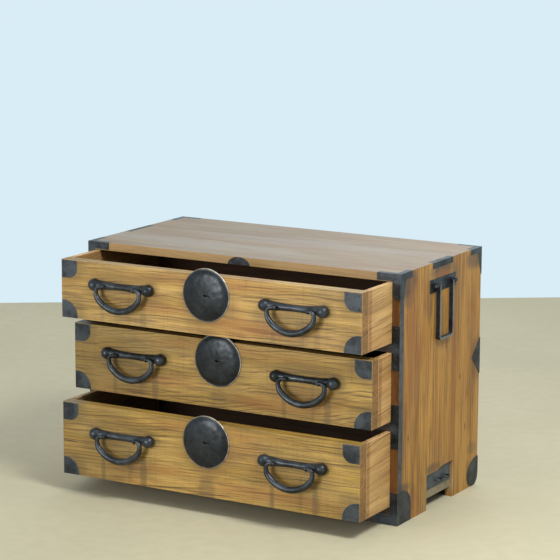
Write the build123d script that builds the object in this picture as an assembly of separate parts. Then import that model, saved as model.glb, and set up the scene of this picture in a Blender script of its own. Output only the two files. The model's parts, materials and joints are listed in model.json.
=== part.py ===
from build123d import *
from math import acos, cos, pi, radians, sin
import os

# An isho clothing chest: a low carcass with three full-width drawers, iron fittings, warabite drawer handles,
# round lock plates with working bolts, and a swinging carrying handle on each end.
# Millimetres. +X right, +Y from front to back, +Z up.
# The origin is on the floor, mid-width, in the plane of the carcass's front edges.

# --- carcass ---
width = 880.0  # over the side panels
depth = 440.0  # front plane to back plane
panel_t = 20.0
top_t = 20.0
bottom_t = 20.0
divider_t = 22.0
back_t = 9.0
back_lap = 10.0  # how far the back panel laps into the sides and top
base_h = 25.0  # floor to the underside of the bottom board
rail_t = 22.0
housing = 6.0  # how far boards are let into the side panels
heel = 25.0  # radius of the side panels' rounded bottom rear corner
top_opening_h = 147.0
middle_opening_h = 168.0
bottom_opening_h = 186.0
notch_y = 225.5  # front plane to the middle of the lifting notch
notch_half_w = 71.5
notch_h = 88.0
notch_rise = 6.0  # the rear half of the notch is cut higher
notch_slope_w = 26.0  # width of the slope between the two heights
notch_recess = 7.0

# --- drawers ---
top_pull = 148.0  # how far each front stands out of the carcass
middle_pull = 95.0
bottom_pull = 150.0
drawer_len = 429.5
side_clear = 0.8
floor_clear = 0.3
ceiling_clear = 1.2
front_t = 30.0
side_t = 13.0
tongue_t = 5.0  # the sides' stub tongues in the front
tongue_len = 8.0
tongue_stop = 12.0
drawer_back_t = 12.0
drawer_back_lap = 6.0
drawer_back_drop = 6.0
drawer_bottom_t = 8.0
bottom_lap = 6.0
bottom_front_lap = 10.0

# --- warabite drawer handles ---
handle_x = 241.0  # mid-drawer to the middle of a handle
top_handle_drop = 54.0  # drawer top to the middle of the handle's bar
middle_handle_drop = 66.0
bottom_handle_drop = 69.5
bar_half_l = 78.0  # to the middle of the knob
bar_end_r = 13.5
bar_waist_r = 8.4
bar_lift = 3.0  # drawer front to the bar's own axis
knob_r = 15.2
knob_lift = 7.0  # drawer front to the middle of the knob
eye_x = 46.5  # from the middle of the handle
eye_t = 4.5
eye_rim = 2.3
eye_gap = 0.7  # between an eye and the bar's crown
pin_r = 3.0
pin_clear = 0.1
clinch_h = 24.0
clinch_t = 2.5
bail_end_r = 4.2
bail_shoulder_r = 5.2  # thickness grows from the end, by way of the shoulder and the side, to the grip
bail_side_r = 7.0
bail_grip_r = 8.0
bail_half_w = 63.0
bail_drop = 58.5
bail_curl_r = 12.5
bail_bend_r = 36.0
bail_tip = 5.0  # past the eye
bail_tip_round = 2.0
hinge_clear = 0.08

# --- round lock plates, lock cases and bolts ---
disc_r = 65.0
disc_drop = 48.5  # drawer top to the middle of the plate
disc_t = 1.2
disc_bead_r = 1.2  # rolled edge
disc_dome_r = 60.5  # where the dome meets the flat ring inside the edge
disc_crown_r = 44.0  # where the flatter crown meets the dome's shoulder
crown_slope = 8.0  # degrees, where crown and shoulder meet
shoulder_slope = 30.0  # degrees, at the foot of the shoulder
tang_r = 2.0
tang_x = 40.0
tang_len = 14.0
tang_clear = 0.1
keyhole_r = 2.8
keyway_l = 14.0
keyway_h = 3.0
case_half_w = 36.0
case_h = 60.0
case_top_gap = 6.0  # wood above the lock case
case_depth = 12.0
case_wall = 1.5
case_clear = 0.2
case_ear = 10.0
bolt_half_w = 11.0
bolt_t = 4.0
bolt_body_half_w = 24.0
bolt_travel = 8.0
bolt_short = 0.8  # how far the drawn bolt stays below the drawer's top edge
bolt_clear = 0.3
key_window_half_w = 16.0
key_window_h = 22.0
mortise_depth = 9.0
mortise_clear = 1.5

# --- iron plates ---
iron_t = 1.2
strike_half_w = 31.0
strike_h = 19.5
strike_lip = 34.0
corner_arm = 61.0  # along the front, from the side face
corner_arm_h = 18.0
corner_leg_h = 62.0
corner_leg_r = 14.0  # inner lower corner of the leg
corner_side_arm = 62.0
corner_side_arm_h = 16.0
corner_side_leg_w = 28.0
edge_w = 20.0  # iron strip along the side panels' front edge
top_leaf_w = 14.0
strap_h = 107.0
base_front_h = 80.0
base_arm = 61.0
base_arm_h = 23.0
base_side_w = 69.0
base_side_h = 82.0
base_side_r = 44.0
floor_gap = 1.0  # iron stops just above the floor
rear_arm = 60.0
rear_arm_h = 14.0
rear_leg_h = 70.0
rear_leg_w = 18.0
rear_fold = 13.0  # how far the rear plates turn onto the back
diamond_half_h = 46.0
diamond_w = 44.0
diamond_z = 333.0
leaf_h = 73.0
leaf_w = 59.5
leaf_z = 27.0  # height of the leaf's tip
plate_w = 45.0  # drawer corner plates
plate_h = 44.0
plate_inset = 1.5
plate_base_inset = 0.3
plate_top_r = 25.0
plate_base_r = 40.0

# --- carrying handles and the fittings round them ---
fitting_y = 224.0  # front plane to the middle of the side fittings
backplate_half_l = 69.0
backplate_z = 553.5
backplate_h = 33.0
backplate_t = 1.5
edge_plate_half_l = 55.0
edge_plate_h = 15.0
carry_half_w = 35.0  # to the middle of a leg
carry_bar_w = 6.0  # across the flat bar, seen from the end of the chest
carry_bar_d = 10.0  # its depth, out from the chest
carry_drop = 132.5
carry_bend_r = 5.0
carry_pin_r = 3.6
carry_pin_end = 61.0
carry_eye_y = 50.0
carry_eye_t = 6.0
carry_eye_rim = 2.5
carry_gap = 0.3  # between the staple's eye and the backplate
staple_r = 2.5
staple_len = 18.0
notch_plate_gap = 3.0
loop_step = 39.0  # between the two loops on a notch plate
loop_r = 12.0
loop_wire_r = 2.4
loop_len = 10.0
loop_z = 61.0

# --- nails ---
nail_head_r = 2.2
nail_top_r = 1.3
nail_head_t = 0.8
nail_r = 0.9
nail_len = 12.0
nail_clear = 0.05
nail_edge = 7.0  # nail to the edge of its plate
strip_nails = 4
back_nail_x = (-333.0, 143.0)

half_w = width / 2
inner_half_w = half_w - panel_t
back_y = depth - back_t
bottom_floor = base_h + bottom_t
middle_floor = bottom_floor + bottom_opening_h + divider_t
top_floor = middle_floor + middle_opening_h + divider_t
ceiling = top_floor + top_opening_h
height = ceiling + top_t
front_half_w = inner_half_w - side_clear
drawer_inner_half_w = front_half_w - side_t
recess_x = half_w - notch_recess
eye_r = bail_end_r + hinge_clear + eye_rim
bar_flare = bar_end_r - bar_waist_r
bar_arc_r = (bar_half_l**2 + bar_flare**2) / (2 * bar_flare)
eye_edge = eye_x + eye_t / 2
eye_seat = bar_waist_r + bar_arc_r - (bar_arc_r**2 - eye_edge**2) ** 0.5
hinge_off = bar_lift + eye_seat + eye_gap + eye_r
crown_r = disc_crown_r / sin(radians(crown_slope))
shoulder_r = (disc_dome_r - disc_crown_r) / (sin(radians(shoulder_slope)) - sin(radians(crown_slope)))
shoulder_rise = shoulder_r * (cos(radians(crown_slope)) - cos(radians(shoulder_slope)))
crown_rise = crown_r * (1 - cos(radians(crown_slope)))
disc_rise = disc_t + shoulder_rise + crown_rise
carry_eye_r = carry_pin_r + hinge_clear + carry_eye_rim
carry_x = half_w + backplate_t + carry_gap + carry_eye_r
bolt_y = front_t - (case_depth + bolt_t) / 2  # from the drawer's face to the bolt
quarter = 2**-0.5

RIGHT = (1, 0, 0)
INTO_FRONT = (0, 1, 0)
INTO_SIDE = (-1, 0, 0)
INTO_BACK = (0, -1, 0)
DOWN = (0, 0, -1)
CORNER = (Align.MIN, Align.MIN, Align.MIN)
ON_BASE = (Align.CENTER, Align.CENTER, Align.MIN)
nodes = {}


# --- small shapes ---


def block(x0, x1, y0, y1, z0, z1):
    """A box between two corners."""
    return Pos(x0, y0, z0) * Box(x1 - x0, y1 - y0, z1 - z0, align=CORNER)


def rod(start, end, radius):
    """A cylinder between two points."""
    along = Vector(*end) - Vector(*start)
    return Plane(origin=start, z_dir=along) * Cylinder(radius, along.length, align=ON_BASE)


def sheet(outline, direction, thickness):
    """A flat plate: an outline given thickness along a direction."""
    return extrude(make_face(outline), amount=thickness, dir=direction)


def on_front(*points):
    """An iron leaf on the front plane, from (x, z) corners."""
    outline = Polyline(*[(x, 0, z) for x, z in points], close=True)
    return sheet(outline, INTO_BACK, iron_t)


def on_side(*points):
    """An iron leaf on the right side panel, from (y, z) corners."""
    outline = Polyline(*[(half_w, y, z) for y, z in points], close=True)
    return sheet(outline, RIGHT, iron_t)


def in_top(x0, x1, y0, y1):
    """An iron leaf let in flush with the top of the chest."""
    return block(x0, x1, y0, y1, height - iron_t, height)


def pair(shape):
    """A shape at the right end of the chest and its mirror image at the left."""
    return [shape, mirror(shape, about=Plane.YZ)]


def keep(name, shapes):
    """Store a node: one solid, or a group of separate solids."""
    solids = [solid for shape in shapes for solid in shape.solids()]
    nodes[name] = solids[0] if len(solids) == 1 else Compound(children=solids)


def reach(a, b):
    """Whether two bounding boxes meet."""
    lows = zip(a.min, b.max)
    highs = zip(b.min, a.max)
    return all(low <= high for low, high in [*lows, *highs])


def cut(shape, tools):
    """A shape less the tools that reach it."""
    box = shape.bounding_box()
    near = [tool for tool in tools if reach(box, tool.bounding_box())]
    return shape - near if near else shape


def nail(point, inward):
    """A nail whose head stands on the surface at the point."""
    start = Vector(*point)
    inward = Vector(*inward)
    head = Plane(origin=start, z_dir=inward * -1) * Cone(nail_head_r, nail_top_r, nail_head_t, align=ON_BASE)
    return head + rod(start, start + inward * nail_len, nail_r)


def nail_hole(point, inward):
    """The hole for a nail."""
    start = Vector(*point)
    inward = Vector(*inward)
    return rod(start - inward * nail_head_t, start + inward * (nail_len + nail_clear), nail_r + nail_clear)


def flush_nail(point, inward):
    """A nail driven flush with the surface at the point."""
    start = Vector(*point)
    return rod(start, start + Vector(*inward) * nail_len, nail_head_r)


def flush_hole(point, inward):
    """The hole for a nail driven flush."""
    start = Vector(*point)
    inward = Vector(*inward)
    end = start + inward * (nail_len + nail_clear)
    return rod(start - inward * nail_head_t, end, nail_head_r + nail_clear)


# --- drawer pieces ---


def handle_bar(x, face_y, z):
    """A bar turned with a narrow waist between two knobs, cut off flat against the drawer front."""
    end_x = bar_half_l + 2 * knob_r
    profile = [
        Polyline((-bar_half_l, bar_end_r), (-bar_half_l, 0), (bar_half_l, 0), (bar_half_l, bar_end_r)),
        ThreePointArc((bar_half_l, bar_end_r), (0, bar_waist_r), (-bar_half_l, bar_end_r)),
    ]
    turned = Pos(0, -bar_lift, 0) * revolve(make_face(profile), axis=Axis.X)
    knobs = [Pos(knob_x, -knob_lift, 0) * Sphere(knob_r) for knob_x in (-bar_half_l, bar_half_l)]
    front_half = block(-end_x, end_x, -end_x, 0, -end_x, end_x)
    return Pos(x, face_y, z) * ((turned + knobs) & front_half)


def pin_hole(x, face_y, z):
    """The hole for a split pin through the bar and the drawer front."""
    return rod((x, face_y - hinge_off, z), (x, face_y + front_t, z), pin_r + pin_clear)


def split_pin(x, face_y, z):
    """An eye on a shank that goes through the bar and the front and is clinched inside."""
    axis_y = face_y - hinge_off
    inner_y = face_y + front_t
    half_t = eye_t / 2
    bore = bail_end_r + hinge_clear
    ring = rod((x - half_t, axis_y, z), (x + half_t, axis_y, z), eye_r)
    shank = rod((x, axis_y + bore, z), (x, inner_y, z), pin_r)
    clinch = block(x - pin_r, x + pin_r, inner_y, inner_y + clinch_t, z - clinch_h / 2, z + clinch_h / 2)
    return ring + shank + clinch - rod((x - eye_t, axis_y, z), (x + eye_t, axis_y, z), bore)


def bend(middle, major, start, end, radii):
    """A bent rod in the bail's plane that thickens evenly along an arc. Angles run from +X towards +Z."""
    angles = (start, (start + end) / 2, end)
    points = [(middle[0] + major * cos(angle), 0, middle[1] + major * sin(angle)) for angle in angles]
    arc = ThreePointArc(*points)
    sections = [Plane(arc @ at, x_dir=INTO_FRONT, z_dir=arc % at) * Circle(radii[at]) for at in (0, 1)]
    return sweep(sections, path=arc, multisection=True)


def drawer_bail(x, face_y, z):
    """A hanging bail whose ends turn inwards through the two eyes; it thickens towards the grip."""
    tip_x = eye_x - eye_t / 2 - bail_tip
    curl_x = bail_half_w - bail_curl_r
    side_x = bail_half_w - bail_bend_r
    fall = bail_drop - bail_curl_r
    grip_bend_r = (side_x**2 + fall**2 - bail_bend_r**2) / (2 * (fall - bail_bend_r))
    side_end = -acos(side_x / (grip_bend_r - bail_bend_r))
    tip = rod((tip_x, 0, 0), (curl_x, 0, 0), bail_end_r)
    tip = fillet(tip.edges().filter_by(GeomType.CIRCLE).sort_by(Axis.X)[0], bail_tip_round)
    curl = bend((curl_x, -bail_curl_r), bail_curl_r, pi / 2, 0, (bail_end_r, bail_shoulder_r))
    leg = bend((side_x, -bail_curl_r), bail_bend_r, 0, side_end, (bail_shoulder_r, bail_side_r))
    half_grip = bend((0, grip_bend_r - bail_drop), grip_bend_r, side_end, -pi / 2, (bail_side_r, bail_grip_r))
    half = tip + curl + leg + half_grip
    return Pos(x, face_y - hinge_off, z) * (half + mirror(half, about=Plane.YZ))


def slope_arc(centre, radius, start, end):
    """An arc of the lock plate's section, between two slopes of its surface."""
    slopes = (start, (start + end) / 2, end)
    points = [(centre[0] + radius * sin(slope), -centre[1] - radius * cos(slope)) for slope in slopes]
    return ThreePointArc(*points)


def lock_plate(face_y, z):
    """A domed iron disc with a rolled edge, open behind, with a keyhole and two tangs into the drawer front."""
    crown_end = radians(crown_slope)
    shoulder_end = radians(shoulder_slope)
    crown = (0, disc_rise - crown_r)
    shoulder = (disc_crown_r - shoulder_r * sin(crown_end), disc_t - shoulder_r * cos(shoulder_end))
    inner_start = acos(-shoulder[1] / (shoulder_r - disc_t))
    bead_x = disc_r - disc_bead_r
    outer_crown = slope_arc(crown, crown_r, 0, crown_end)
    outer_shoulder = slope_arc(shoulder, shoulder_r, crown_end, shoulder_end)
    bead = ThreePointArc((bead_x - disc_bead_r, -disc_t), (bead_x, -disc_t - disc_bead_r), (disc_r, -disc_t))
    inner_shoulder = slope_arc(shoulder, shoulder_r - disc_t, inner_start, crown_end)
    inner_crown = slope_arc(crown, crown_r - disc_t, crown_end, 0)
    ring = [Line(outer_shoulder @ 1, bead @ 0), bead, Polyline(bead @ 1, (disc_r, 0), inner_shoulder @ 0)]
    closing = Line(inner_crown @ 1, outer_crown @ 0)
    section = make_face([outer_crown, outer_shoulder, *ring, inner_shoulder, inner_crown, closing])
    tang_y = crown[1] + ((crown_r - disc_t / 2) ** 2 - tang_x**2) ** 0.5
    tangs = [rod((x, -tang_y, 0), (x, tang_len, 0), tang_r) for x in (-tang_x, tang_x)]
    return Pos(0, face_y, z) * (revolve(section, axis=Axis.Y) + tangs) - keyhole(face_y, z)


def keyhole(face_y, z):
    """The round hole and the slot beside it, through the plate and the front."""
    start_y = face_y - disc_rise
    end_y = face_y + front_t - case_depth
    slot = block(0, keyway_l, start_y, end_y, z - keyway_h / 2, z + keyway_h / 2)
    return rod((0, start_y, z), (0, end_y, z), keyhole_r) + slot


def lock_case(face_y, top_z):
    """An iron box let into the back of the front, closed behind by a plate with nailed ears."""
    inner_y = face_y + front_t
    box_top = top_z - case_top_gap
    box_low = box_top - case_h
    box = block(-case_half_w, case_half_w, inner_y - case_depth, inner_y, box_low, box_top)
    room = block(
        case_wall - case_half_w,
        case_half_w - case_wall,
        inner_y - case_depth,
        inner_y,
        box_low + case_wall,
        box_top - case_wall,
    )
    ears = case_half_w + case_ear
    cover = block(-ears, ears, inner_y, inner_y + case_wall, box_low, box_top)
    return box - room + cover - bolt_slot(face_y, top_z)


def bolt_slot(face_y, top_z):
    """The slot that guides the bolt through the case and the drawer's top edge."""
    return block(
        -bolt_half_w - bolt_clear,
        bolt_half_w + bolt_clear,
        face_y + bolt_y - bolt_clear,
        face_y + bolt_y + bolt_t + bolt_clear,
        top_z - case_top_gap - case_wall,
        top_z,
    )


def lock_bolt(face_y, top_z, key_z):
    """A flat bolt, drawn, with a window in which the key turns."""
    near_y = face_y + bolt_y
    far_y = near_y + bolt_t
    low_z = top_z - case_top_gap - case_h + case_wall + bolt_clear
    high_z = top_z - case_top_gap - case_wall - bolt_clear - bolt_travel
    body = block(-bolt_body_half_w, bolt_body_half_w, near_y, far_y, low_z, high_z)
    neck = block(-bolt_half_w, bolt_half_w, near_y, far_y, low_z, top_z - bolt_short)
    half_h = key_window_h / 2
    window = block(-key_window_half_w, key_window_half_w, near_y, far_y, key_z - half_h, key_z + half_h)
    return body + neck - window


def plate_low(high, z):
    """The lower edge of a corner plate that lies below the height z, or stands on it."""
    return z - plate_inset - plate_h if high else z + plate_base_inset


def corner_plate(high, face_y, z, radius):
    """A square plate in one corner of the front, its inner corner rounded off."""
    outer_x = front_half_w - plate_inset
    low_z = plate_low(high, z)
    plate = block(outer_x - plate_w, outer_x, face_y - iron_t, face_y, low_z, low_z + plate_h)
    inner_edges = plate.edges().filter_by(Axis.Y).group_by(Axis.X)[0].sort_by(Axis.Z)
    return fillet(inner_edges[0 if high else -1], radius)


def plate_nails(high, z):
    """The (x, z) places of a corner plate's three nails."""
    outer_x = front_half_w - plate_inset - nail_edge
    inner_x = front_half_w - plate_inset - plate_w + nail_edge
    base_z = plate_low(high, z) + nail_edge
    crown_z = plate_low(high, z) + plate_h - nail_edge
    near_z, far_z = (crown_z, base_z) if high else (base_z, crown_z)
    return [(outer_x, near_z), (inner_x, near_z), (outer_x, far_z)]


def drawer(name, opening_z, opening_h, pull, handle_drop):
    """All the nodes of one drawer, pulled out by its own distance."""
    face_y = -pull
    end_y = face_y + drawer_len
    inner_y = face_y + front_t
    low_z = opening_z + floor_clear
    top_z = opening_z + opening_h - ceiling_clear
    bar_z = top_z - handle_drop
    key_z = top_z - disc_drop
    nail_y = face_y - iron_t

    plates = pair(corner_plate(True, face_y, top_z, plate_top_r))
    plates += pair(corner_plate(False, face_y, low_z, plate_base_r))
    places = plate_nails(True, top_z) + plate_nails(False, low_z)
    nail_points = [(side * x, nail_y, z) for side in (-1, 1) for x, z in places]
    nails = [nail(point, INTO_FRONT) for point in nail_points]
    holes = [nail_hole(point, INTO_FRONT) for point in nail_points]

    ear_x = case_half_w + case_ear / 2
    case_top = top_z - case_top_gap
    ear_zs = (case_top - nail_edge, case_top - case_h + nail_edge)
    ear_points = [(x, inner_y + case_wall, z) for x in (-ear_x, ear_x) for z in ear_zs]
    nails += [nail(point, INTO_BACK) for point in ear_points]
    holes += [nail_hole(point, INTO_BACK) for point in ear_points]

    pin_xs = [handle + step for handle in (-handle_x, handle_x) for step in (-eye_x, eye_x)]
    pins = [split_pin(x, face_y, bar_z) for x in pin_xs]
    holes += [pin_hole(x, face_y, bar_z) for x in pin_xs]
    bars = [handle_bar(x, face_y, bar_z) for x in (-handle_x, handle_x)]

    bottom_x = drawer_inner_half_w + bottom_lap
    bottom = block(-bottom_x, bottom_x, inner_y - bottom_front_lap, end_y, low_z, low_z + drawer_bottom_t)
    back_x = drawer_inner_half_w + drawer_back_lap
    back_low = low_z + drawer_bottom_t
    back = block(-back_x, back_x, end_y - drawer_back_t, end_y, back_low, top_z - drawer_back_drop)
    tongue_x = drawer_inner_half_w + (side_t - tongue_t) / 2
    tongue_z0 = low_z + tongue_stop
    tongue_z1 = top_z - tongue_stop
    tongue = block(tongue_x, tongue_x + tongue_t, inner_y - tongue_len, inner_y, tongue_z0, tongue_z1)
    board = block(drawer_inner_half_w, front_half_w, inner_y, end_y, low_z, top_z)
    side = board + tongue - bottom - back

    pocket_x = case_half_w + case_clear
    pocket = block(
        -pocket_x,
        pocket_x,
        inner_y - case_depth,
        inner_y,
        case_top - case_h - case_clear,
        case_top + case_clear,
    )
    tang_holes = [
        rod((x, face_y, key_z), (x, face_y + tang_len + tang_clear, key_z), tang_r + tang_clear)
        for x in (-tang_x, tang_x)
    ]
    front = block(-front_half_w, front_half_w, face_y, inner_y, low_z, top_z)
    front = front - bottom - pair(tongue) - pocket - bolt_slot(face_y, top_z) - keyhole(face_y, key_z)
    front = cut(front - tang_holes, holes)

    keep(f"{name}_drawer_front", [front])
    keep(f"{name}_drawer_right_side", [side])
    keep(f"{name}_drawer_left_side", [mirror(side, about=Plane.YZ)])
    keep(f"{name}_drawer_back", [back])
    keep(f"{name}_drawer_bottom", [bottom])
    keep(f"{name}_drawer_corner_plates", [cut(plate, holes) for plate in plates])
    keep(f"{name}_drawer_lock_plate", [lock_plate(face_y, key_z)])
    keep(f"{name}_drawer_lock_case", [cut(lock_case(face_y, top_z), holes)])
    keep(f"{name}_drawer_lock_bolt", [lock_bolt(face_y, top_z, key_z)])
    keep(f"{name}_drawer_handle_bars", [cut(bar, holes) for bar in bars])
    keep(f"{name}_drawer_left_handle", [drawer_bail(-handle_x, face_y, bar_z)])
    keep(f"{name}_drawer_right_handle", [drawer_bail(handle_x, face_y, bar_z)])
    keep(f"{name}_drawer_fasteners", pins + nails)


# --- iron fittings of the carcass ---


def top_front_corner():
    """Folded over the front, side and top at an upper front corner."""
    low_z = height - corner_leg_h
    outer_x = half_w + iron_t
    side_z = height - corner_side_arm_h
    leg = block(inner_half_w, outer_x, -iron_t, 0, low_z, height)
    leg = fillet(leg.edges().filter_by(Axis.Y).group_by(Axis.X)[0].sort_by(Axis.Z)[0], corner_leg_r)
    arm = block(half_w - corner_arm, outer_x, -iron_t, 0, height - corner_arm_h, height)
    side = on_side(
        (-iron_t, low_z),
        (edge_w, low_z),
        (corner_side_leg_w, side_z),
        (corner_side_arm, side_z),
        (corner_side_arm, height),
        (-iron_t, height),
    )
    along_front = in_top(half_w - corner_arm, outer_x, -iron_t, top_leaf_w)
    along_side = in_top(half_w - top_leaf_w, outer_x, -iron_t, corner_side_arm)
    return leg + arm + side + along_front + along_side


def base_front_corner():
    """Folded round a lower front corner, with an arm along the front rail."""
    outer_x = half_w + iron_t
    front = on_front(
        (half_w - base_arm, floor_gap),
        (outer_x, floor_gap),
        (outer_x, base_front_h),
        (inner_half_w, base_front_h),
        (inner_half_w, base_arm_h),
        (half_w - base_arm, base_arm_h),
    )
    side = block(half_w, outer_x, -iron_t, base_side_w, floor_gap, base_side_h)
    crown = side.edges().filter_by(Axis.X).sort_by(lambda edge: edge.center().Y + edge.center().Z)[-1]
    return front + fillet(crown, base_side_r)


def rear_top_corner():
    """Folded over the side, top and back at an upper rear corner."""
    outer_x = half_w + iron_t
    outer_y = depth + iron_t
    arm_z = height - rear_arm_h
    side = on_side(
        (depth - rear_arm, height),
        (depth - rear_arm, arm_z),
        (depth - rear_leg_w, arm_z),
        (depth - rear_leg_w / 2, height - rear_leg_h * quarter),
        (depth, height - rear_leg_h),
        (outer_y, height - rear_leg_h),
        (outer_y, height),
    )
    back = block(half_w - rear_arm, outer_x, depth, outer_y, arm_z, height)
    along_side = in_top(half_w - top_leaf_w, outer_x, depth - rear_arm, outer_y)
    along_back = in_top(half_w - rear_arm, outer_x, depth - top_leaf_w, outer_y)
    return side + back + along_side + along_back


def rear_middle_plate():
    """A half diamond folded over the rear edge."""
    outer_y = depth + iron_t
    low_z = diamond_z - diamond_half_h
    high_z = diamond_z + diamond_half_h
    tip = (depth - diamond_w, diamond_z)
    side = on_side((outer_y, low_z), (outer_y, high_z), (depth, high_z), tip, (depth, low_z))
    return side + block(half_w - rear_fold, half_w + iron_t, depth, outer_y, low_z, high_z)


def rear_base_plate():
    """A leaf folded over the foot of the rear edge: it swells to a tip and is rounded below."""
    outer_y = depth + iron_t
    heel_top = heel + floor_gap
    tip_y = depth - leaf_w
    toe_r = leaf_z - floor_gap
    fold = [
        (half_w, depth, heel_top),
        (half_w, outer_y, heel_top),
        (half_w, outer_y, leaf_h),
        (half_w, depth, leaf_h),
    ]
    upper = Plane((half_w, depth, leaf_z), x_dir=INTO_BACK, z_dir=INTO_SIDE)
    outline = [
        Polyline(*fold),
        upper * EllipticalCenterArc((0, 0), leaf_w, leaf_h - leaf_z, arc_size=90),
        ThreePointArc(
            (half_w, tip_y, leaf_z),
            (half_w, tip_y + toe_r * (1 - quarter), leaf_z - toe_r * quarter),
            (half_w, tip_y + toe_r, floor_gap),
        ),
        Line((half_w, tip_y + toe_r, floor_gap), (half_w, depth - heel, floor_gap)),
        ThreePointArc(
            (half_w, depth - heel, floor_gap),
            (half_w, depth - heel * (1 - quarter), heel_top - heel * quarter),
            (half_w, depth, heel_top),
        ),
    ]
    side = sheet(outline, RIGHT, iron_t)
    return side + block(half_w - rear_fold, half_w + iron_t, depth, outer_y, heel_top, leaf_h)


def backplate():
    half_h = backplate_h / 2
    y0 = fitting_y - backplate_half_l
    y1 = fitting_y + backplate_half_l
    return block(half_w, half_w + backplate_t, y0, y1, backplate_z - half_h, backplate_z + half_h)


def edge_plate():
    """A strip folded over the side panel's top edge above the carrying handle."""
    y0 = fitting_y - edge_plate_half_l
    y1 = fitting_y + edge_plate_half_l
    outer_x = half_w + iron_t
    side = block(half_w, outer_x, y0, y1, height - edge_plate_h, height)
    return side + in_top(half_w - top_leaf_w, outer_x, y0, y1)


def notch_shape(x, low_z, gap, thickness):
    """The notch's stepped outline in a side panel, from an inner x outwards, drawn in by a gap."""
    y0 = notch_y - notch_half_w + gap
    y1 = notch_y + notch_half_w - gap
    high_z = notch_h + notch_rise - gap
    outline = Polyline(
        (x, y0, low_z),
        (x, y1, low_z),
        (x, y1, high_z),
        (x, notch_y + notch_slope_w / 2, high_z),
        (x, notch_y - notch_slope_w / 2, notch_h - gap),
        (x, y0, notch_h - gap),
        close=True,
    )
    return sheet(outline, RIGHT, thickness)


def notch_loop_legs(y):
    """The two y places where a loop's legs enter the notch plate."""
    return (y - loop_r, y + loop_r)


def notch_loop(y):
    """A small half ring lying level on the notch plate, its two legs driven into the panel."""
    foot_x = recess_x + iron_t
    section = Plane(origin=(foot_x, y + loop_r, loop_z), z_dir=RIGHT) * Circle(loop_wire_r)
    arch = revolve(section, axis=Axis((foot_x, y, loop_z), DOWN), revolution_arc=180)
    leg_x = foot_x - loop_len
    legs = [rod((foot_x, leg_y, loop_z), (leg_x, leg_y, loop_z), loop_wire_r) for leg_y in notch_loop_legs(y)]
    return arch + legs


def strike_plate(under_z):
    """A half-round let into the front edge above a drawer, with a slotted lip underneath for the bolt."""
    face = make_face(
        [
            Line((-strike_half_w, 0, under_z), (strike_half_w, 0, under_z)),
            Plane.XZ * EllipticalCenterArc((0, under_z), strike_half_w, strike_h, arc_size=180),
        ]
    )
    leaf = extrude(face, amount=iron_t, dir=INTO_FRONT)
    lip = block(-strike_half_w, strike_half_w, 0, strike_lip, under_z, under_z + iron_t)
    return leaf + lip - mortise(under_z)


def mortise(under_z):
    """The hole that takes the bolt of the closed drawer below."""
    half = bolt_half_w + mortise_clear
    y0 = bolt_y - mortise_clear
    y1 = bolt_y + bolt_t + mortise_clear
    return block(-half, half, y0, y1, under_z, under_z + mortise_depth)


def carry_handle():
    """A flat iron bail with rounded ends, hanging on two round pins that point outwards."""
    half_bar = carry_bar_w / 2
    x0 = carry_x - carry_bar_d / 2
    x1 = carry_x + carry_bar_d / 2
    low_z = backplate_z - carry_drop
    outer_y = carry_half_w + half_bar
    inner_y = carry_half_w - half_bar
    slab = block(x0, x1, -outer_y, outer_y, low_z - half_bar, backplate_z)
    slab = fillet(slab.edges().filter_by(Axis.X).group_by(Axis.Z)[0], carry_bend_r + carry_bar_w)
    gap = block(x0, x1, -inner_y, inner_y, low_z + half_bar, backplate_z)
    gap = fillet(gap.edges().filter_by(Axis.X).group_by(Axis.Z)[0], carry_bend_r)
    ends = []
    for side in (-1, 1):
        inner = (carry_x, side * inner_y, backplate_z)
        outer = (carry_x, side * outer_y, backplate_z)
        ends += [rod(inner, outer, carry_bar_d / 2)]
        ends += [rod(outer, (carry_x, side * carry_pin_end, backplate_z), carry_pin_r)]
    return Pos(0, fitting_y, 0) * (slab - gap + ends)


def carry_staple(y):
    """An eye for a carrying handle's pin, on a shank driven through the backplate into the panel."""
    half_t = carry_eye_t / 2
    bore = carry_pin_r + hinge_clear
    ring = rod((carry_x, y - half_t, backplate_z), (carry_x, y + half_t, backplate_z), carry_eye_r)
    shank = rod((carry_x - bore, y, backplate_z), (half_w - staple_len, y, backplate_z), staple_r)
    hole = rod((carry_x, y - carry_eye_t, backplate_z), (carry_x, y + carry_eye_t, backplate_z), bore)
    return ring + shank - hole


# --- nails and staples of the carcass, for the right end ---

outer_x = half_w + iron_t
strip_low = base_side_h
strip_high = height - corner_leg_h
strap_zs = (bottom_floor + bottom_opening_h + divider_t / 2, middle_floor + middle_opening_h + divider_t / 2)
edge_x = half_w - panel_t / 2
arm_z = height - corner_arm_h / 2
side_arm_z = height - corner_side_arm_h / 2
backplate_nail_y = backplate_half_l - nail_edge
edge_plate_nail_y = edge_plate_half_l - nail_edge
notch_nail_y = notch_half_w - notch_plate_gap - nail_edge
notch_nail_z = bottom_floor + floor_gap + nail_edge
strip_step = (strip_high - strip_low) / strip_nails

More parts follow.
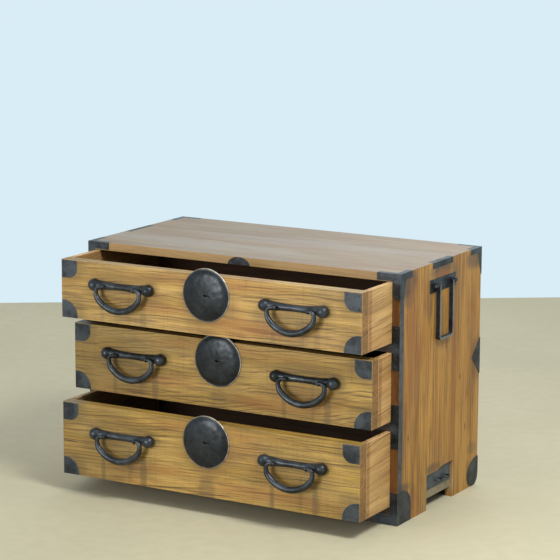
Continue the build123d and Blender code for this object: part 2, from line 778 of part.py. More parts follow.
front_nails = [
    (half_w - corner_arm + nail_edge, arm_z),
    (half_w - corner_arm / 2, arm_z),
    (half_w - base_arm + nail_edge, base_arm_h / 2),
    (edge_x, base_front_h - nail_edge),
]
front_nails += [(edge_x, z + side * (strap_h / 2 - nail_edge)) for z in strap_zs for side in (-1, 1)]
side_nails = [
    (corner_side_arm - nail_edge, side_arm_z),
    (corner_side_leg_w - nail_edge, side_arm_z),
    (edge_w / 2, strip_high + nail_edge),
    (base_side_w - nail_edge, base_side_h / 2),
    (edge_w / 2, base_side_h / 2),
    (depth - rear_arm + nail_edge, height - rear_arm_h / 2),
    (depth - rear_leg_w / 2, height - rear_arm_h),
    (depth - diamond_w + 2 * nail_edge, diamond_z),
    (depth - nail_edge, diamond_z - diamond_half_h / 2),
    (depth - nail_edge, diamond_z + diamond_half_h / 2),
    (depth - leaf_w + 2 * nail_edge, leaf_z),
    (depth - nail_edge, leaf_h - 2 * nail_edge),
    (fitting_y - edge_plate_nail_y, height - edge_plate_h / 2),
    (fitting_y + edge_plate_nail_y, height - edge_plate_h / 2),
]
side_nails += [(edge_w / 2, strip_low + strip_step * (step + 0.5)) for step in range(strip_nails)]
ends = [((x, -iron_t, z), INTO_FRONT) for x, z in front_nails]
ends += [((outer_x, y, z), INTO_SIDE) for y, z in side_nails]
ends += [((half_w + backplate_t, fitting_y + s * backplate_nail_y, backplate_z), INTO_SIDE) for s in (-1, 1)]
ends += [((recess_x + iron_t, notch_y + s * notch_nail_y, notch_nail_z), INTO_SIDE) for s in (-1, 1)]
ends += [((half_w - rear_arm + nail_edge, depth + iron_t, height - rear_arm_h / 2), INTO_BACK)]
nails = []
holes = []
for point, inward in ends:
    nails += pair(nail(point, inward))
    holes += pair(nail_hole(point, inward))

staples = []
for side in (-1, 1):
    eye_y = fitting_y + side * carry_eye_y
    staples += pair(carry_staple(eye_y))
    shank_end = half_w - staple_len - pin_clear
    holes += pair(rod((carry_x, eye_y, backplate_z), (shank_end, eye_y, backplate_z), staple_r + pin_clear))
for loop_y in (notch_y, notch_y + loop_step):
    staples += pair(notch_loop(loop_y))
    leg_end = recess_x + iron_t - loop_len - pin_clear
    for leg_y in notch_loop_legs(loop_y):
        holes += pair(rod((half_w, leg_y, loop_z), (leg_end, leg_y, loop_z), loop_wire_r + pin_clear))

strike_zs = (bottom_floor + bottom_opening_h, middle_floor + middle_opening_h, ceiling)
flush_ends = [((x, depth - back_t / 2, height), DOWN) for x in back_nail_x]
for side in (-1, 1):
    flush_ends += [((side * strike_half_w * quarter, 0, z + nail_edge), INTO_FRONT) for z in strike_zs]
nails += [flush_nail(point, inward) for point, inward in flush_ends]
holes += [flush_hole(point, inward) for point, inward in flush_ends]

# --- iron plates of the carcass ---

top_front_corners = pair(top_front_corner())
edge_strips = pair(block(half_w, outer_x, 0, edge_w, strip_low, strip_high))
straps = [
    strap
    for z in strap_zs
    for strap in pair(block(inner_half_w, outer_x, -iron_t, 0, z - strap_h / 2, z + strap_h / 2))
]
rear_top_corners = pair(rear_top_corner())
edge_plates = pair(edge_plate())
strike_plates = [strike_plate(z) for z in strike_zs]
notch_plates = pair(notch_shape(recess_x, bottom_floor + floor_gap, notch_plate_gap, iron_t))
inlays = top_front_corners + rear_top_corners + edge_plates + strike_plates

keep("top_front_corners", [cut(plate, holes) for plate in top_front_corners])
keep("side_edge_strips", [cut(plate, holes) for plate in edge_strips])
keep("stile_straps", [cut(plate, holes) for plate in straps])
keep("base_front_corners", [cut(plate, holes) for plate in pair(base_front_corner())])
keep("rear_top_corners", [cut(plate, holes) for plate in rear_top_corners])
keep("rear_edge_plates", [cut(p, holes) for p in pair(rear_middle_plate()) + pair(rear_base_plate())])
keep("side_handle_plates", [cut(plate, holes) for plate in pair(backplate()) + edge_plates])
keep("notch_plates", [cut(plate, holes) for plate in notch_plates])
keep("strike_plates", [cut(plate, holes) for plate in strike_plates])
keep("carcass_fasteners", nails + staples)

# --- carcass boards ---

housed = inner_half_w + housing
back_x = inner_half_w + back_lap
back_top = ceiling + back_lap
tools = holes + inlays + [mortise(z) for z in strike_zs]

back_panel = block(-back_x, back_x, back_y, depth, base_h, back_top)
bottom_board = block(-housed, housed, 0, back_y, base_h, bottom_floor)
notch_y0 = notch_y - notch_half_w
notch_y1 = notch_y + notch_half_w
bottom_board += block(-recess_x, recess_x, notch_y0, notch_y1, base_h, bottom_floor)
lower_divider = block(-housed, housed, 0, back_y, strike_zs[0], middle_floor)
upper_divider = block(-housed, housed, 0, back_y, strike_zs[1], top_floor)
front_rail = block(-housed, housed, 0, rail_t, 0, base_h)
rear_rail = block(-housed, housed, depth - heel - rail_t, depth - heel, 0, base_h)

mitre = Polyline(
    (inner_half_w, 0, ceiling),
    (half_w, 0, height),
    (half_w, 0, height + top_t),
    (inner_half_w, 0, height + top_t),
    close=True,
)
over_mitre = pair(sheet(mitre, INTO_FRONT, depth))
panel = block(inner_half_w, half_w, 0, depth, 0, height)
heel_edge = panel.edges().filter_by(Axis.X).sort_by(lambda edge: edge.center().Y - edge.center().Z)[-1]
panel = fillet(heel_edge, heel) - over_mitre
panel = panel - [back_panel, bottom_board, lower_divider, upper_divider, front_rail, rear_rail]
panel = panel - notch_shape(recess_x, 0, 0, notch_recess)
panel = panel - block(inner_half_w, half_w, notch_y0, notch_y1, 0, base_h)
top_outline = Polyline(
    (-inner_half_w, 0, ceiling),
    (inner_half_w, 0, ceiling),
    (half_w, 0, height),
    (-half_w, 0, height),
    close=True,
)
top_board = sheet(top_outline, INTO_FRONT, depth) - back_panel

keep("top_board", [cut(top_board, tools)])
keep("bottom_board", [cut(bottom_board, tools)])
keep("right_side_panel", [cut(panel, tools)])
keep("left_side_panel", [cut(mirror(panel, about=Plane.YZ), tools)])
keep("back_panel", [cut(back_panel, tools)])
keep("upper_divider", [cut(upper_divider, tools)])
keep("lower_divider", [cut(lower_divider, tools)])
keep("front_base_rail", [cut(front_rail, tools)])
keep("rear_base_rail", [cut(rear_rail, tools)])

right_handle = carry_handle()
keep("right_side_handle", [right_handle])
keep("left_side_handle", [mirror(right_handle, about=Plane.YZ)])

drawer("top", top_floor, top_opening_h, top_pull, top_handle_drop)
drawer("middle", middle_floor, middle_opening_h, middle_pull, middle_handle_drop)
drawer("bottom", bottom_floor, bottom_opening_h, bottom_pull, bottom_handle_drop)

os.makedirs("parts", exist_ok=True)
for name, shape in nodes.items():
    export_step(shape, f"parts/{name}.step")
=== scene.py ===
import json
import math
import bmesh
import bpy
from mathutils import Matrix, Vector, noise


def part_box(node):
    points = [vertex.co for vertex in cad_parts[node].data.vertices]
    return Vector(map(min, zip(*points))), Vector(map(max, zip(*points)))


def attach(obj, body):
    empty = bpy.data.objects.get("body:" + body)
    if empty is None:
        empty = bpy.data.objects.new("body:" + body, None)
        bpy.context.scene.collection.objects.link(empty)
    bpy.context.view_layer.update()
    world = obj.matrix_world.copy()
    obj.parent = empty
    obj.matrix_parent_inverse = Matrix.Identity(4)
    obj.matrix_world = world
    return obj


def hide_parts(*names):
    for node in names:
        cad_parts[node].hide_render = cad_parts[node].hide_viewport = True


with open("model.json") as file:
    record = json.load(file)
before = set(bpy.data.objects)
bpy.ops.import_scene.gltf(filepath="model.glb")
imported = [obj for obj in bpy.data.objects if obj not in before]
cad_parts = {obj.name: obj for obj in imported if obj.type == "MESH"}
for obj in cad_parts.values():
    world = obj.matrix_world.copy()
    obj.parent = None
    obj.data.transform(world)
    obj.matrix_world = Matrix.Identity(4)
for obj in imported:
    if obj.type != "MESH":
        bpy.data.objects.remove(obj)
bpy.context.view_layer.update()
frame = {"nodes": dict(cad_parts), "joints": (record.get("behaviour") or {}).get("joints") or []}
nodes = frame["nodes"]
joints = {j["name"]: j for j in frame["joints"]}
mm = 0.001
black = (0.0, 0.0, 0.0, 1.0)
white = (1.0, 1.0, 1.0, 1.0)
sharp_angle = math.radians(50)
drawers = ("top", "middle", "bottom")
sides = (("left", -1), ("right", 1))


# --- shader helpers ---

class Graph:
    """Short ways to add shader nodes to one material."""

    def __init__(self, material):
        material.use_nodes = True
        self.tree = material.node_tree
        self.tree.nodes.clear()
        self.out = self.tree.nodes.new("ShaderNodeOutputMaterial")
        self.bsdf = self.tree.nodes.new("ShaderNodeBsdfPrincipled")
        self.tree.links.new(self.bsdf.outputs[0], self.out.inputs[0])
        self.coords = self.tree.nodes.new("ShaderNodeTexCoord").outputs["Object"]

    def put(self, socket, value):
        """Link a node's output, or set a plain value."""
        if isinstance(value, bpy.types.NodeSocket):
            self.tree.links.new(value, socket)
        else:
            socket.default_value = value

    def math(self, kind, a, b=0.0, c=0.0):
        n = self.tree.nodes.new("ShaderNodeMath")
        n.operation = kind
        for socket, value in zip(n.inputs, (a, b, c)):
            self.put(socket, value)
        return n.outputs[0]

    def add(self, a, b):
        return self.math("ADD", a, b)

    def sub(self, a, b):
        return self.math("SUBTRACT", a, b)

    def mul(self, a, b):
        return self.math("MULTIPLY", a, b)

    def mad(self, a, b, c):
        """a times b, plus c."""
        return self.math("MULTIPLY_ADD", a, b, c)

    def axes(self, vector):
        n = self.tree.nodes.new("ShaderNodeSeparateXYZ")
        self.put(n.inputs[0], vector)
        return n.outputs[0], n.outputs[1], n.outputs[2]

    def vector(self, x, y, z):
        n = self.tree.nodes.new("ShaderNodeCombineXYZ")
        for socket, value in zip(n.inputs, (x, y, z)):
            self.put(socket, value)
        return n.outputs[0]

    def noise(self, vector, scale=1.0, detail=2.0, rough=0.5):
        n = self.tree.nodes.new("ShaderNodeTexNoise")
        self.put(n.inputs["Vector"], vector)
        n.inputs["Scale"].default_value = scale
        n.inputs["Detail"].default_value = detail
        n.inputs["Roughness"].default_value = rough
        return n.outputs["Fac"]

    def stretched(self, axes, scales, detail, rough, shift):
        """Noise with its own scale, in cells per metre, along each axis."""
        x, y, z = (self.mad(axis, scale, shift) for axis, scale in zip(axes, scales))
        return self.noise(self.vector(x, y, z), 1.0, detail, rough)

    def steps(self, value, low, high, out_low=0.0, out_high=1.0):
        """A value between low and high, eased to between out_low and out_high."""
        n = self.tree.nodes.new("ShaderNodeMapRange")
        n.interpolation_type = "SMOOTHSTEP"
        for socket, v in zip(n.inputs, (value, low, high, out_low, out_high)):
            self.put(socket, v)
        return n.outputs[0]

    def mix(self, factor, a, b, kind="MIX"):
        n = self.tree.nodes.new("ShaderNodeMix")
        n.data_type = "RGBA"
        n.blend_type = kind
        self.put(n.inputs["Factor"], factor)
        self.put(n.inputs["A"], a)
        self.put(n.inputs["B"], b)
        return n.outputs["Result"]

    def attribute(self, name):
        n = self.tree.nodes.new("ShaderNodeAttribute")
        n.attribute_name = name
        return n.outputs["Fac"]

    def bump(self, height, strength, distance, normal=None):
        n = self.tree.nodes.new("ShaderNodeBump")
        n.inputs["Strength"].default_value = strength
        n.inputs["Distance"].default_value = distance
        self.put(n.inputs["Height"], height)
        if normal is not None:
            self.put(n.inputs["Normal"], normal)
        return n.outputs[0]

    def spot(self, xyz, centre, radii, ragged):
        """1 in the middle of an ellipsoid, fading raggedly to 0 at its surface; a radius of 0 is no limit."""
        distance = 0.0
        for value, middle, radius in zip(xyz, centre, radii):
            if radius:
                q = self.math("DIVIDE", self.sub(value, middle), radius)
                distance = self.mad(q, q, distance)
        edge, core = 1.2, 0.15
        return self.steps(self.add(distance, ragged), edge, core)

    def finish(self, colour, roughness, normal, metallic=0.0, specular=0.5):
        self.put(self.bsdf.inputs["Base Color"], colour)
        self.put(self.bsdf.inputs["Roughness"], roughness)
        self.put(self.bsdf.inputs["Normal"], normal)
        self.bsdf.inputs["Metallic"].default_value = metallic
        self.bsdf.inputs["Specular IOR Level"].default_value = specular


def srgb(r, g, b):
    """A display colour, 0 to 255, as the linear colour that shows it."""
    def linear(v):
        v /= 255
        return v / 12.92 if v <= 0.04045 else ((v + 0.055) / 1.055) ** 2.4
    return (linear(r), linear(g), linear(b), 1.0)


def mixed(a, b, share):
    """A colour part of the way from a to b."""
    return tuple(x + (y - x) * share for x, y in zip(a, b))


# --- mesh helpers ---

def add_mesh(name, verts, faces, smooth=True):
    mesh = bpy.data.meshes.new(name)
    mesh.from_pydata(verts, [], faces)
    mesh.validate()
    obj = bpy.data.objects.new(name, mesh)
    bpy.context.scene.collection.objects.link(obj)
    if smooth:
        mesh.shade_smooth()
    return obj


def islands(bm):
    """The connected groups of vertices."""
    left = set(bm.verts)
    groups = []
    while left:
        seed = left.pop()
        group, front = {seed}, [seed]
        while front:
            for edge in front.pop().link_edges:
                for v in edge.verts:
                    if v in left:
                        left.remove(v)
                        group.add(v)
                        front.append(v)
        groups.append(group)
    return sorted(groups, key=lambda g: tuple(min(v.co[i] for v in g) for i in range(3)))


def clean_copy(node):
    """A bmesh of a CAD node with its triangles joined into whole faces."""
    same_point, same_plane = 1e-6, math.radians(0.6)
    bm = bmesh.new()
    bm.from_mesh(nodes[node].data)
    bmesh.ops.remove_doubles(bm, verts=bm.verts, dist=same_point)
    bmesh.ops.dissolve_limit(bm, angle_limit=same_plane, verts=bm.verts, edges=bm.edges)
    return bm


def dressed(node, width, material, body, shortest=4 * mm, segments=2):
    """A piece that stands for a CAD node: its shape with the long edges rounded, and "worn" on the rounds."""
    rounded_angle, kept_sharp = math.radians(30), math.radians(40)
    bm = clean_copy(node)
    edges = [
        e for e in bm.edges
        if len(e.link_faces) == 2 and e.calc_length() > shortest and e.calc_face_angle() > rounded_angle
    ]
    made = bmesh.ops.bevel(
        bm, geom=edges, offset=width, segments=segments, profile=0.5, affect="EDGES", clamp_overlap=True
    )
    worn = bm.loops.layers.float.new("worn")
    for face in made["faces"]:
        for loop in face.loops:
            loop[worn] = 1.0
    mesh = bpy.data.meshes.new(node + "_look")
    bm.to_mesh(mesh)
    bm.free()
    mesh.shade_smooth()
    mesh.set_sharp_from_angle(angle=kept_sharp)
    obj = bpy.data.objects.new(node + "_look", mesh)
    bpy.context.scene.collection.objects.link(obj)
    normals = obj.modifiers.new("normals", "WEIGHTED_NORMAL")
    normals.keep_sharp = True
    return place(obj, material, body, node)


def place(obj, material, body, *replaced):
    """Give a piece its material, its body and the CAD nodes that it stands for."""
    obj.data.materials.clear()
    obj.data.materials.append(material)
    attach(obj, body)
    if replaced:
        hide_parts(*replaced)
    return obj


def wobble(point, size, depth):
    """A smooth random number at a point, for hammered and worn surfaces."""
    return noise.noise(Vector(point) / size) * depth


hammer_mark = 7 * mm


def tube(path, radii, count, closed=False, up=Vector((0, 1, 0)), flat=1.0, hammer=0.0):
    """Vertices and faces of a bar along a path.

    Flat stretches or squeezes the section along up, and hammer is the depth of the hammer marks.
    """
    last = len(path) - 1
    verts, faces = [], []
    for i, centre in enumerate(path):
        before = path[i - 1] if closed or i else centre
        after = path[(i + 1) % len(path)] if closed or i < last else centre
        along = (after - before).normalized()
        side = along.cross(up).normalized()
        over = side.cross(along).normalized()
        for k in range(count):
            angle = 2 * math.pi * k / count
            out = side * math.cos(angle) + over * (math.sin(angle) * flat)
            point = centre + out * radii[i]
            verts.append(point + out.normalized() * wobble(point, hammer_mark, hammer))
    for i in range(len(path) if closed else last):
        a, b = i * count, ((i + 1) % len(path)) * count
        for k in range(count):
            n = (k + 1) % count
            faces.append((a + k, a + n, b + n, b + k))
    if not closed:
        faces.append(tuple(range(count - 1, -1, -1)))
        faces.append(tuple(range(last * count, (last + 1) * count)))
    return verts, faces


def joined(*parts):
    """Several (verts, faces) as one."""
    verts, faces = [], []
    for v, f in parts:
        base = len(verts)
        verts += v
        faces += [tuple(i + base for i in face) for face in f]
    return verts, faces


def turned(profile, origin, out):
    """A small turned shape: (radius, height) pairs about a direction, closed at both ends."""
    turns = 16
    out = Vector(out).normalized()
    side = out.orthogonal().normalized()
    over = out.cross(side)
    verts, faces = [], []
    for r, h in profile:
        for k in range(turns):
            angle = 2 * math.pi * k / turns
            verts.append(Vector(origin) + out * h + (side * math.cos(angle) + over * math.sin(angle)) * r)
    for i in range(len(profile) - 1):
        for k in range(turns):
            n = (k + 1) % turns
            faces.append((i * turns + k, i * turns + n, (i + 1) * turns + n, (i + 1) * turns + k))
    faces.append(tuple(reversed(range(turns))))
    faces.append(tuple(range((len(profile) - 1) * turns, len(profile) * turns)))
    return verts, faces


# --- wood ---

# The noise behind each kind of mark: cells per metre along the grain, across it and into the board, then
# detail, roughness and a shift of the seed.
marks = {
    "long_wave": ((2.6, 5.0, 0.0), 2.0, 0.5, 0),
    "short_wave": ((13.0, 26.0, 0.0), 2.0, 0.5, 3),
    "line": ((3.2, 55.0, 0.0), 2.0, 0.5, 5),
    "fine_line": ((5.0, 90.0, 0.0), 2.0, 0.5, 6),
    "fibre": ((7.0, 430.0, 430.0), 3.0, 0.6, 0),
    "smear": ((4.5, 120.0, 120.0), 3.0, 0.6, 8),
    "streak": ((2.4, 34.0, 34.0), 3.0, 0.6, 7),
    "pore": ((60.0, 1300.0, 1300.0), 2.0, 0.5, 0),
    "cloud": ((3.0, 7.0, 7.0), 4.0, 0.6, 9),
    "dull": ((4.0, 10.0, 10.0), 4.0, 0.6, 10),
    "blotch": ((9.0, 24.0, 24.0), 4.0, 0.62, 11),
    "cross": ((210.0, 9.0, 9.0), 3.0, 0.6, 13),
}
long_bend, short_bend = 0.05, 0.012  # how far the rings wander, in metres
unevenness, uneven_scale = 2.5, 45.0  # how far rings are from evenly spaced, in rings, and cells per metre
fine_rings = 2.63  # fine rings to each ring
dull_olive = (0.18, 0.17, 0.11, 1.0)


def ring_lines(g, uvw, mark, seed, pith, tilt, spacing, waves):
    """Growth rings about the pith, wandering and partly faded: 1 on a ring's dark line, 0 between."""
    u, v, w = uvw
    wave = g.add(g.mul(g.sub(mark["long_wave"], 0.5), long_bend * waves),
                 g.mul(g.sub(mark["short_wave"], 0.5), short_bend * waves))
    dv = g.add(g.sub(v, pith[0]), wave)
    dw = g.add(g.sub(w, pith[1]), g.mad(u, tilt, g.mul(wave, 0.6)))
    radius = g.math("SQRT", g.add(g.mul(dv, dv), g.mul(dw, dw)))
    uneven = g.noise(g.vector(g.mul(radius, uneven_scale), seed, 0.0), 1.0, 1.0)
    turn = g.add(g.math("DIVIDE", radius, spacing), g.mul(uneven, unevenness))
    part = g.math("FRACT", turn)
    line = g.mul(g.steps(part, 0.55, 0.93), g.steps(part, 1.0, 0.96))
    fine_part = g.math("FRACT", g.mul(turn, fine_rings))
    fine_line = g.mul(g.steps(fine_part, 0.5, 0.9), g.steps(fine_part, 1.0, 0.93))
    strength = g.steps(mark["line"], 0.38, 0.64, 0.05, 1.0)
    fine_strength = g.steps(mark["fine_line"], 0.4, 0.62, 0.0, 0.7)
    return g.math("MAXIMUM", g.mul(line, strength), g.mul(fine_line, fine_strength))


def wood(name, along, across, tones, seed, pith, tilt=0.03, spacing=0.007, rings=0.55, fibres=0.35,
         bands=0.5, patches=0.3, chatter=0.12, rough=(0.4, 0.55), skew=0.0, worn=0.6, spots=(), ends=(),
         waves=1.0, sheen=0.4):
    """A board's material. Along and across are the axes of the grain and of the board's face.

    tones are the base, its dark and light streaks, and its reddish patches. pith is where the tree's middle
    lies, across the face and behind it. tilt swings it, which draws arches, and spacing is from ring to ring.
    rings, fibres, bands, patches and chatter (marks across the grain) say how strongly each shows, waves how
    much the rings wander, and skew turns the grain. worn is how far rubbed edges turn pale. spots are stains
    and painted shade: (centre, radii, strength, colour). ends are other colours over one end or face of the
    board, some of them painted shade on inner faces: (axis, where it is full, where it has faded out,
    strength, colour).
    """
    base, dark, light, warm = tones
    m = bpy.data.materials.new(name + "_look")
    g = Graph(m)
    xyz = g.axes(g.coords)
    into = ({0, 1, 2} - {along, across}).pop()
    u, v, w = xyz[along], xyz[across], xyz[into]
    if skew:
        u, v = g.mad(v, skew, u), g.mad(u, -skew, v)
    uvw = (u, v, w)
    mark = {
        kind: g.stretched(uvw, scales, detail, roughness, seed + shift)
        for kind, (scales, detail, roughness, shift) in marks.items()
    }
    ring = ring_lines(g, uvw, mark, seed, pith, tilt, spacing, waves)
    fibre, streak, cloud, blotch = (mark[kind] for kind in ("fibre", "streak", "cloud", "blotch"))
    pore = g.steps(mark["pore"], 0.62, 0.74)

    colour = base
    for amount, tone in (
        (g.mul(g.steps(streak, 0.36, 0.66), bands), light),
        (g.mul(g.steps(streak, 0.48, 0.3), bands * 0.7), mixed(base, dark, 0.5)),
        (g.mul(g.steps(cloud, 0.46, 0.72), patches), warm),
        (g.mul(g.steps(blotch, 0.5, 0.74), patches * 0.8), mixed(warm, dark, 0.5)),
        (g.mul(g.steps(mark["dull"], 0.5, 0.7), patches), mixed(base, dull_olive, 0.6)),
    ):
        colour = g.mix(amount, colour, tone)
    for axis, full, faded, power, tone in ends:
        colour = g.mix(g.mul(g.steps(xyz[axis], faded, full), power), colour, tone)
    shade = tuple(min(1.0, d / b) for d, b in zip(dark, base))
    for amount in (
        g.mul(g.steps(mark["smear"], 0.5, 0.68), bands * 0.6),
        g.mul(ring, rings),
        g.mul(g.steps(fibre, 0.46, 0.76), fibres),
        g.mul(g.steps(mark["cross"], 0.52, 0.72), chatter),
        g.mul(pore, 0.5),
    ):
        colour = g.mix(amount, colour, shade, "MULTIPLY")
    ragged = g.mad(blotch, 1.7, -0.85)
    for centre, radii, power, tone in spots:
        colour = g.mix(g.mul(g.spot(xyz, centre, radii, ragged), power), colour, tone)
    rubbed = g.mul(g.attribute("worn"), g.steps(cloud, 0.3, 0.55, 0.35, 1.0))
    colour = g.mix(g.mul(rubbed, worn), colour, mixed(light, white, 0.18))

    height = g.sub(g.add(g.mul(fibre, 0.5), g.mul(ring, -0.45)), g.mul(pore, 0.5))
    normal = g.bump(height, 0.3, 0.35 * mm)
    normal = g.bump(g.mad(blotch, 0.5, cloud), 0.25, 2.5 * mm, normal)
    shine = g.mad(cloud, 0.6, g.mul(fibre, 0.4))
    g.finish(colour, g.steps(shine, 0.25, 0.75, rough[0], rough[1]), normal, specular=sheen)
    return m


# --- iron ---

blue_grey = srgb(118, 128, 136)
rust_brown = srgb(92, 62, 42)
worn_grey = srgb(128, 132, 134)


def iron(name, base, rust=0.06, rubbed=0.5, hammer=0.6, rough=(0.36, 0.52), seed=0.0, brushed=None,
         outer=0.0, pale=worn_grey):
    """Old blackened iron: uneven, a little rusty, rubbed paler where "worn" says so.

    brushed is the (x, z) middle of a plate that was scraped towards its centre; there the pale rim is kept
    mostly to the upper right as a painted highlight. outer says how much paler the faces towards either end of
    the chest
    are painted: painted light on the side-facing faces, added to the worn edges.
    """
    m = bpy.data.materials.new(name + "_look")
    g = Graph(m)
    x, y, z = g.axes(g.coords)
    where = g.vector(g.add(x, seed), y, z)
    cloud = g.noise(where, 30.0, 4.0, 0.6)
    grain = g.noise(where, 420.0, 3.0, 0.6)
    pits = g.noise(where, 150.0, 5.0, 0.65)
    patch = g.noise(where, 14.0, 5.0, 0.62)
    uneven = 0.4 if brushed else 1.0
    darker, lighter = mixed(base, black, 0.4 * uneven), mixed(base, blue_grey, 0.16 * uneven)
    colour = g.mix(g.steps(cloud, 0.35, 0.66), darker, lighter)
    colour = g.mix(g.mul(g.steps(grain, 0.48, 0.75), 0.4), colour, mixed(base, blue_grey, 0.3))
    colour = g.mix(g.mul(g.steps(patch, 0.52, 0.74), rust), colour, rust_brown)
    normal = g.bump(pits, 0.35 * hammer, 0.5 * mm)
    normal = g.bump(cloud, 0.5 * hammer, 1.2 * mm, normal)
    shine = g.mad(pits, 0.5, g.mul(patch, 0.5))
    worn = g.mul(g.attribute("worn"), g.steps(g.noise(where, 60.0, 3.0), 0.3, 0.6, 0.45, 1.0))
    # Faces towards either end of the chest turn pale as painted light, joined to the worn edges.
    if outer:
        facing = g.axes(g.tree.nodes.new("ShaderNodeTexCoord").outputs["Normal"])[0]
        painted_side_light = g.mul(g.steps(g.math("ABSOLUTE", facing), 0.75, 0.95), outer)
        worn = g.math("MAXIMUM", worn, g.mul(painted_side_light, g.steps(cloud, 0.3, 0.6, 0.5, 1.0)))
    if brushed:
        dx, dz = g.sub(x, brushed[0]), g.sub(z, brushed[1])
        out = g.math("SQRT", g.add(g.mul(dx, dx), g.mul(dz, dz)))
        swirl = g.add(g.math("ARCTAN2", dz, dx), g.mul(out, 4.0))
        across, down = g.mul(g.math("COSINE", swirl), 11.0), g.mul(g.math("SINE", swirl), 11.0)
        around = g.vector(across, down, g.mul(out, 60.0))
        ray = g.noise(around, 1.0, 4.0, 0.65)
        colour = g.mix(g.mul(g.steps(ray, 0.45, 0.7), 0.1), colour, mixed(base, blue_grey, 0.35))
        shine = g.mad(g.sub(ray, 0.5), -0.25, shine)
        normal = g.bump(ray, 0.03, 1.2 * mm, normal)
        # The pale rim is kept mostly to the upper right, as a painted highlight.
        worn = g.mul(worn, g.steps(g.mad(dz, 0.6, dx), -0.04, 0.06, 0.2, 1.0))
    colour = g.mix(g.mul(worn, rubbed), colour, pale)
    g.finish(colour, g.steps(shine, 0.3, 0.7, rough[0], rough[1]), normal, metallic=0.5, specular=0.35)
    return m


# --- materials ---

# Kinds of wood: base, dark streaks, light streaks and reddish patches.
honey = (srgb(182, 144, 68), srgb(84, 56, 24), srgb(204, 168, 98), srgb(160, 104, 42))
olive = (srgb(170, 136, 58), srgb(80, 54, 22), srgb(192, 158, 84), srgb(148, 98, 40))
panel = (srgb(173, 125, 51), srgb(94, 60, 28), srgb(188, 142, 66), srgb(142, 86, 38))
pale = (srgb(200, 161, 101), srgb(120, 82, 44), srgb(214, 178, 122), srgb(172, 118, 64))
# greyed, for the top, is grey partly from weathering and partly as a painted reflection of the pale backdrop.
greyed_and_sheen = (srgb(134, 112, 84), srgb(96, 72, 52), srgb(148, 130, 102), srgb(128, 92, 64))
shadowed = (srgb(56, 39, 27), srgb(28, 20, 14), srgb(72, 52, 36), srgb(54, 34, 22))
# inside is darkened as painted shade, for the drawers' backs and bottoms.
inside = (srgb(84, 58, 38), srgb(38, 26, 20), srgb(104, 76, 52), srgb(76, 46, 30))
raw = (srgb(128, 96, 62), srgb(72, 48, 32), srgb(150, 118, 80), srgb(112, 74, 46))

# Colours at the ends and faces of boards, and of stains.
# The inner brown and inner black darken inner faces as painted shade, and the stile red is a reddish colour
# darkened partly as painted shade.
end_brown, inner_shade_brown, shaded_stile_red = srgb(150, 102, 56), srgb(120, 86, 50), srgb(102, 56, 28)
edge_gold, inner_shade_black, split_end = srgb(172, 136, 78), srgb(30, 22, 18), srgb(150, 140, 114)
# The stain colour serves real stains and painted shade on the drawer fronts.
front_red, stain_and_shade, smoke = srgb(156, 94, 40), srgb(76, 60, 34), srgb(62, 52, 44)
crack, knot, raw_end = srgb(34, 24, 16), srgb(52, 32, 22), srgb(186, 166, 128)
# The bleached greys on the top are partly weathering and partly a painted reflection of the backdrop.
bleach_and_sheen, bleach_and_sheen_warm, top_brown = srgb(150, 150, 150), srgb(152, 150, 148), srgb(150, 108, 72)

plate_iron = iron("plate_iron", srgb(44, 48, 53))
dark_iron = iron("dark_iron", srgb(32, 34, 38), rubbed=0.25, seed=2.0)
strip_iron = iron("strip_iron", srgb(76, 77, 81), rubbed=0.4, rust=0.3, seed=5.0)
notch_iron = iron("notch_iron", srgb(78, 86, 94), rubbed=0.4, seed=6.0)
handle_iron = iron("handle_iron", srgb(44, 47, 51), hammer=0.5, rough=(0.26, 0.42), seed=3.0)
# The carrying handles' faces towards the chest's ends are painted pale as painted light from the side.
carry_iron = iron("carry_iron", srgb(34, 36, 40), rubbed=0.8, hammer=0.5, seed=4.0, outer=0.75,
                  pale=srgb(146, 148, 148))
nail_iron = iron("nail_iron", srgb(46, 48, 52), rust=0.12, hammer=0.4, seed=11.0)


# --- bails and their bars, in millimetres from the hinge or the bar's middle ---

bail_half_w, bail_drop, curl_r, bend_r = 63.0, 57.0, 12.5, 31.0
bail_tip_x = 39.3
tip_round = ((0.0, 2.4), (0.5, 3.4), (1.3, 4.0), (2.4, 4.2))  # distance from the tip, and radius there
end_thick, curl_thick, side_thick, grip_thick = 4.2, 5.4, 7.6, 8.5
dents_from, dents_full = 8 * mm, 28 * mm  # below the hinge: above this the curls stay round in their eyes
# Size and depth of the dents.
bail_dents, bar_dents, plate_dents = (9 * mm, 0.5 * mm), (10 * mm, 0.45 * mm), (13 * mm, 0.5 * mm)
side_x, fall = bail_half_w - bend_r, bail_drop - curl_r
grip_r = (side_x**2 + fall**2 - bend_r**2) / (2 * (fall - bend_r))
side_end = -math.acos(side_x / (grip_r - bend_r))
quarter = math.pi / 2


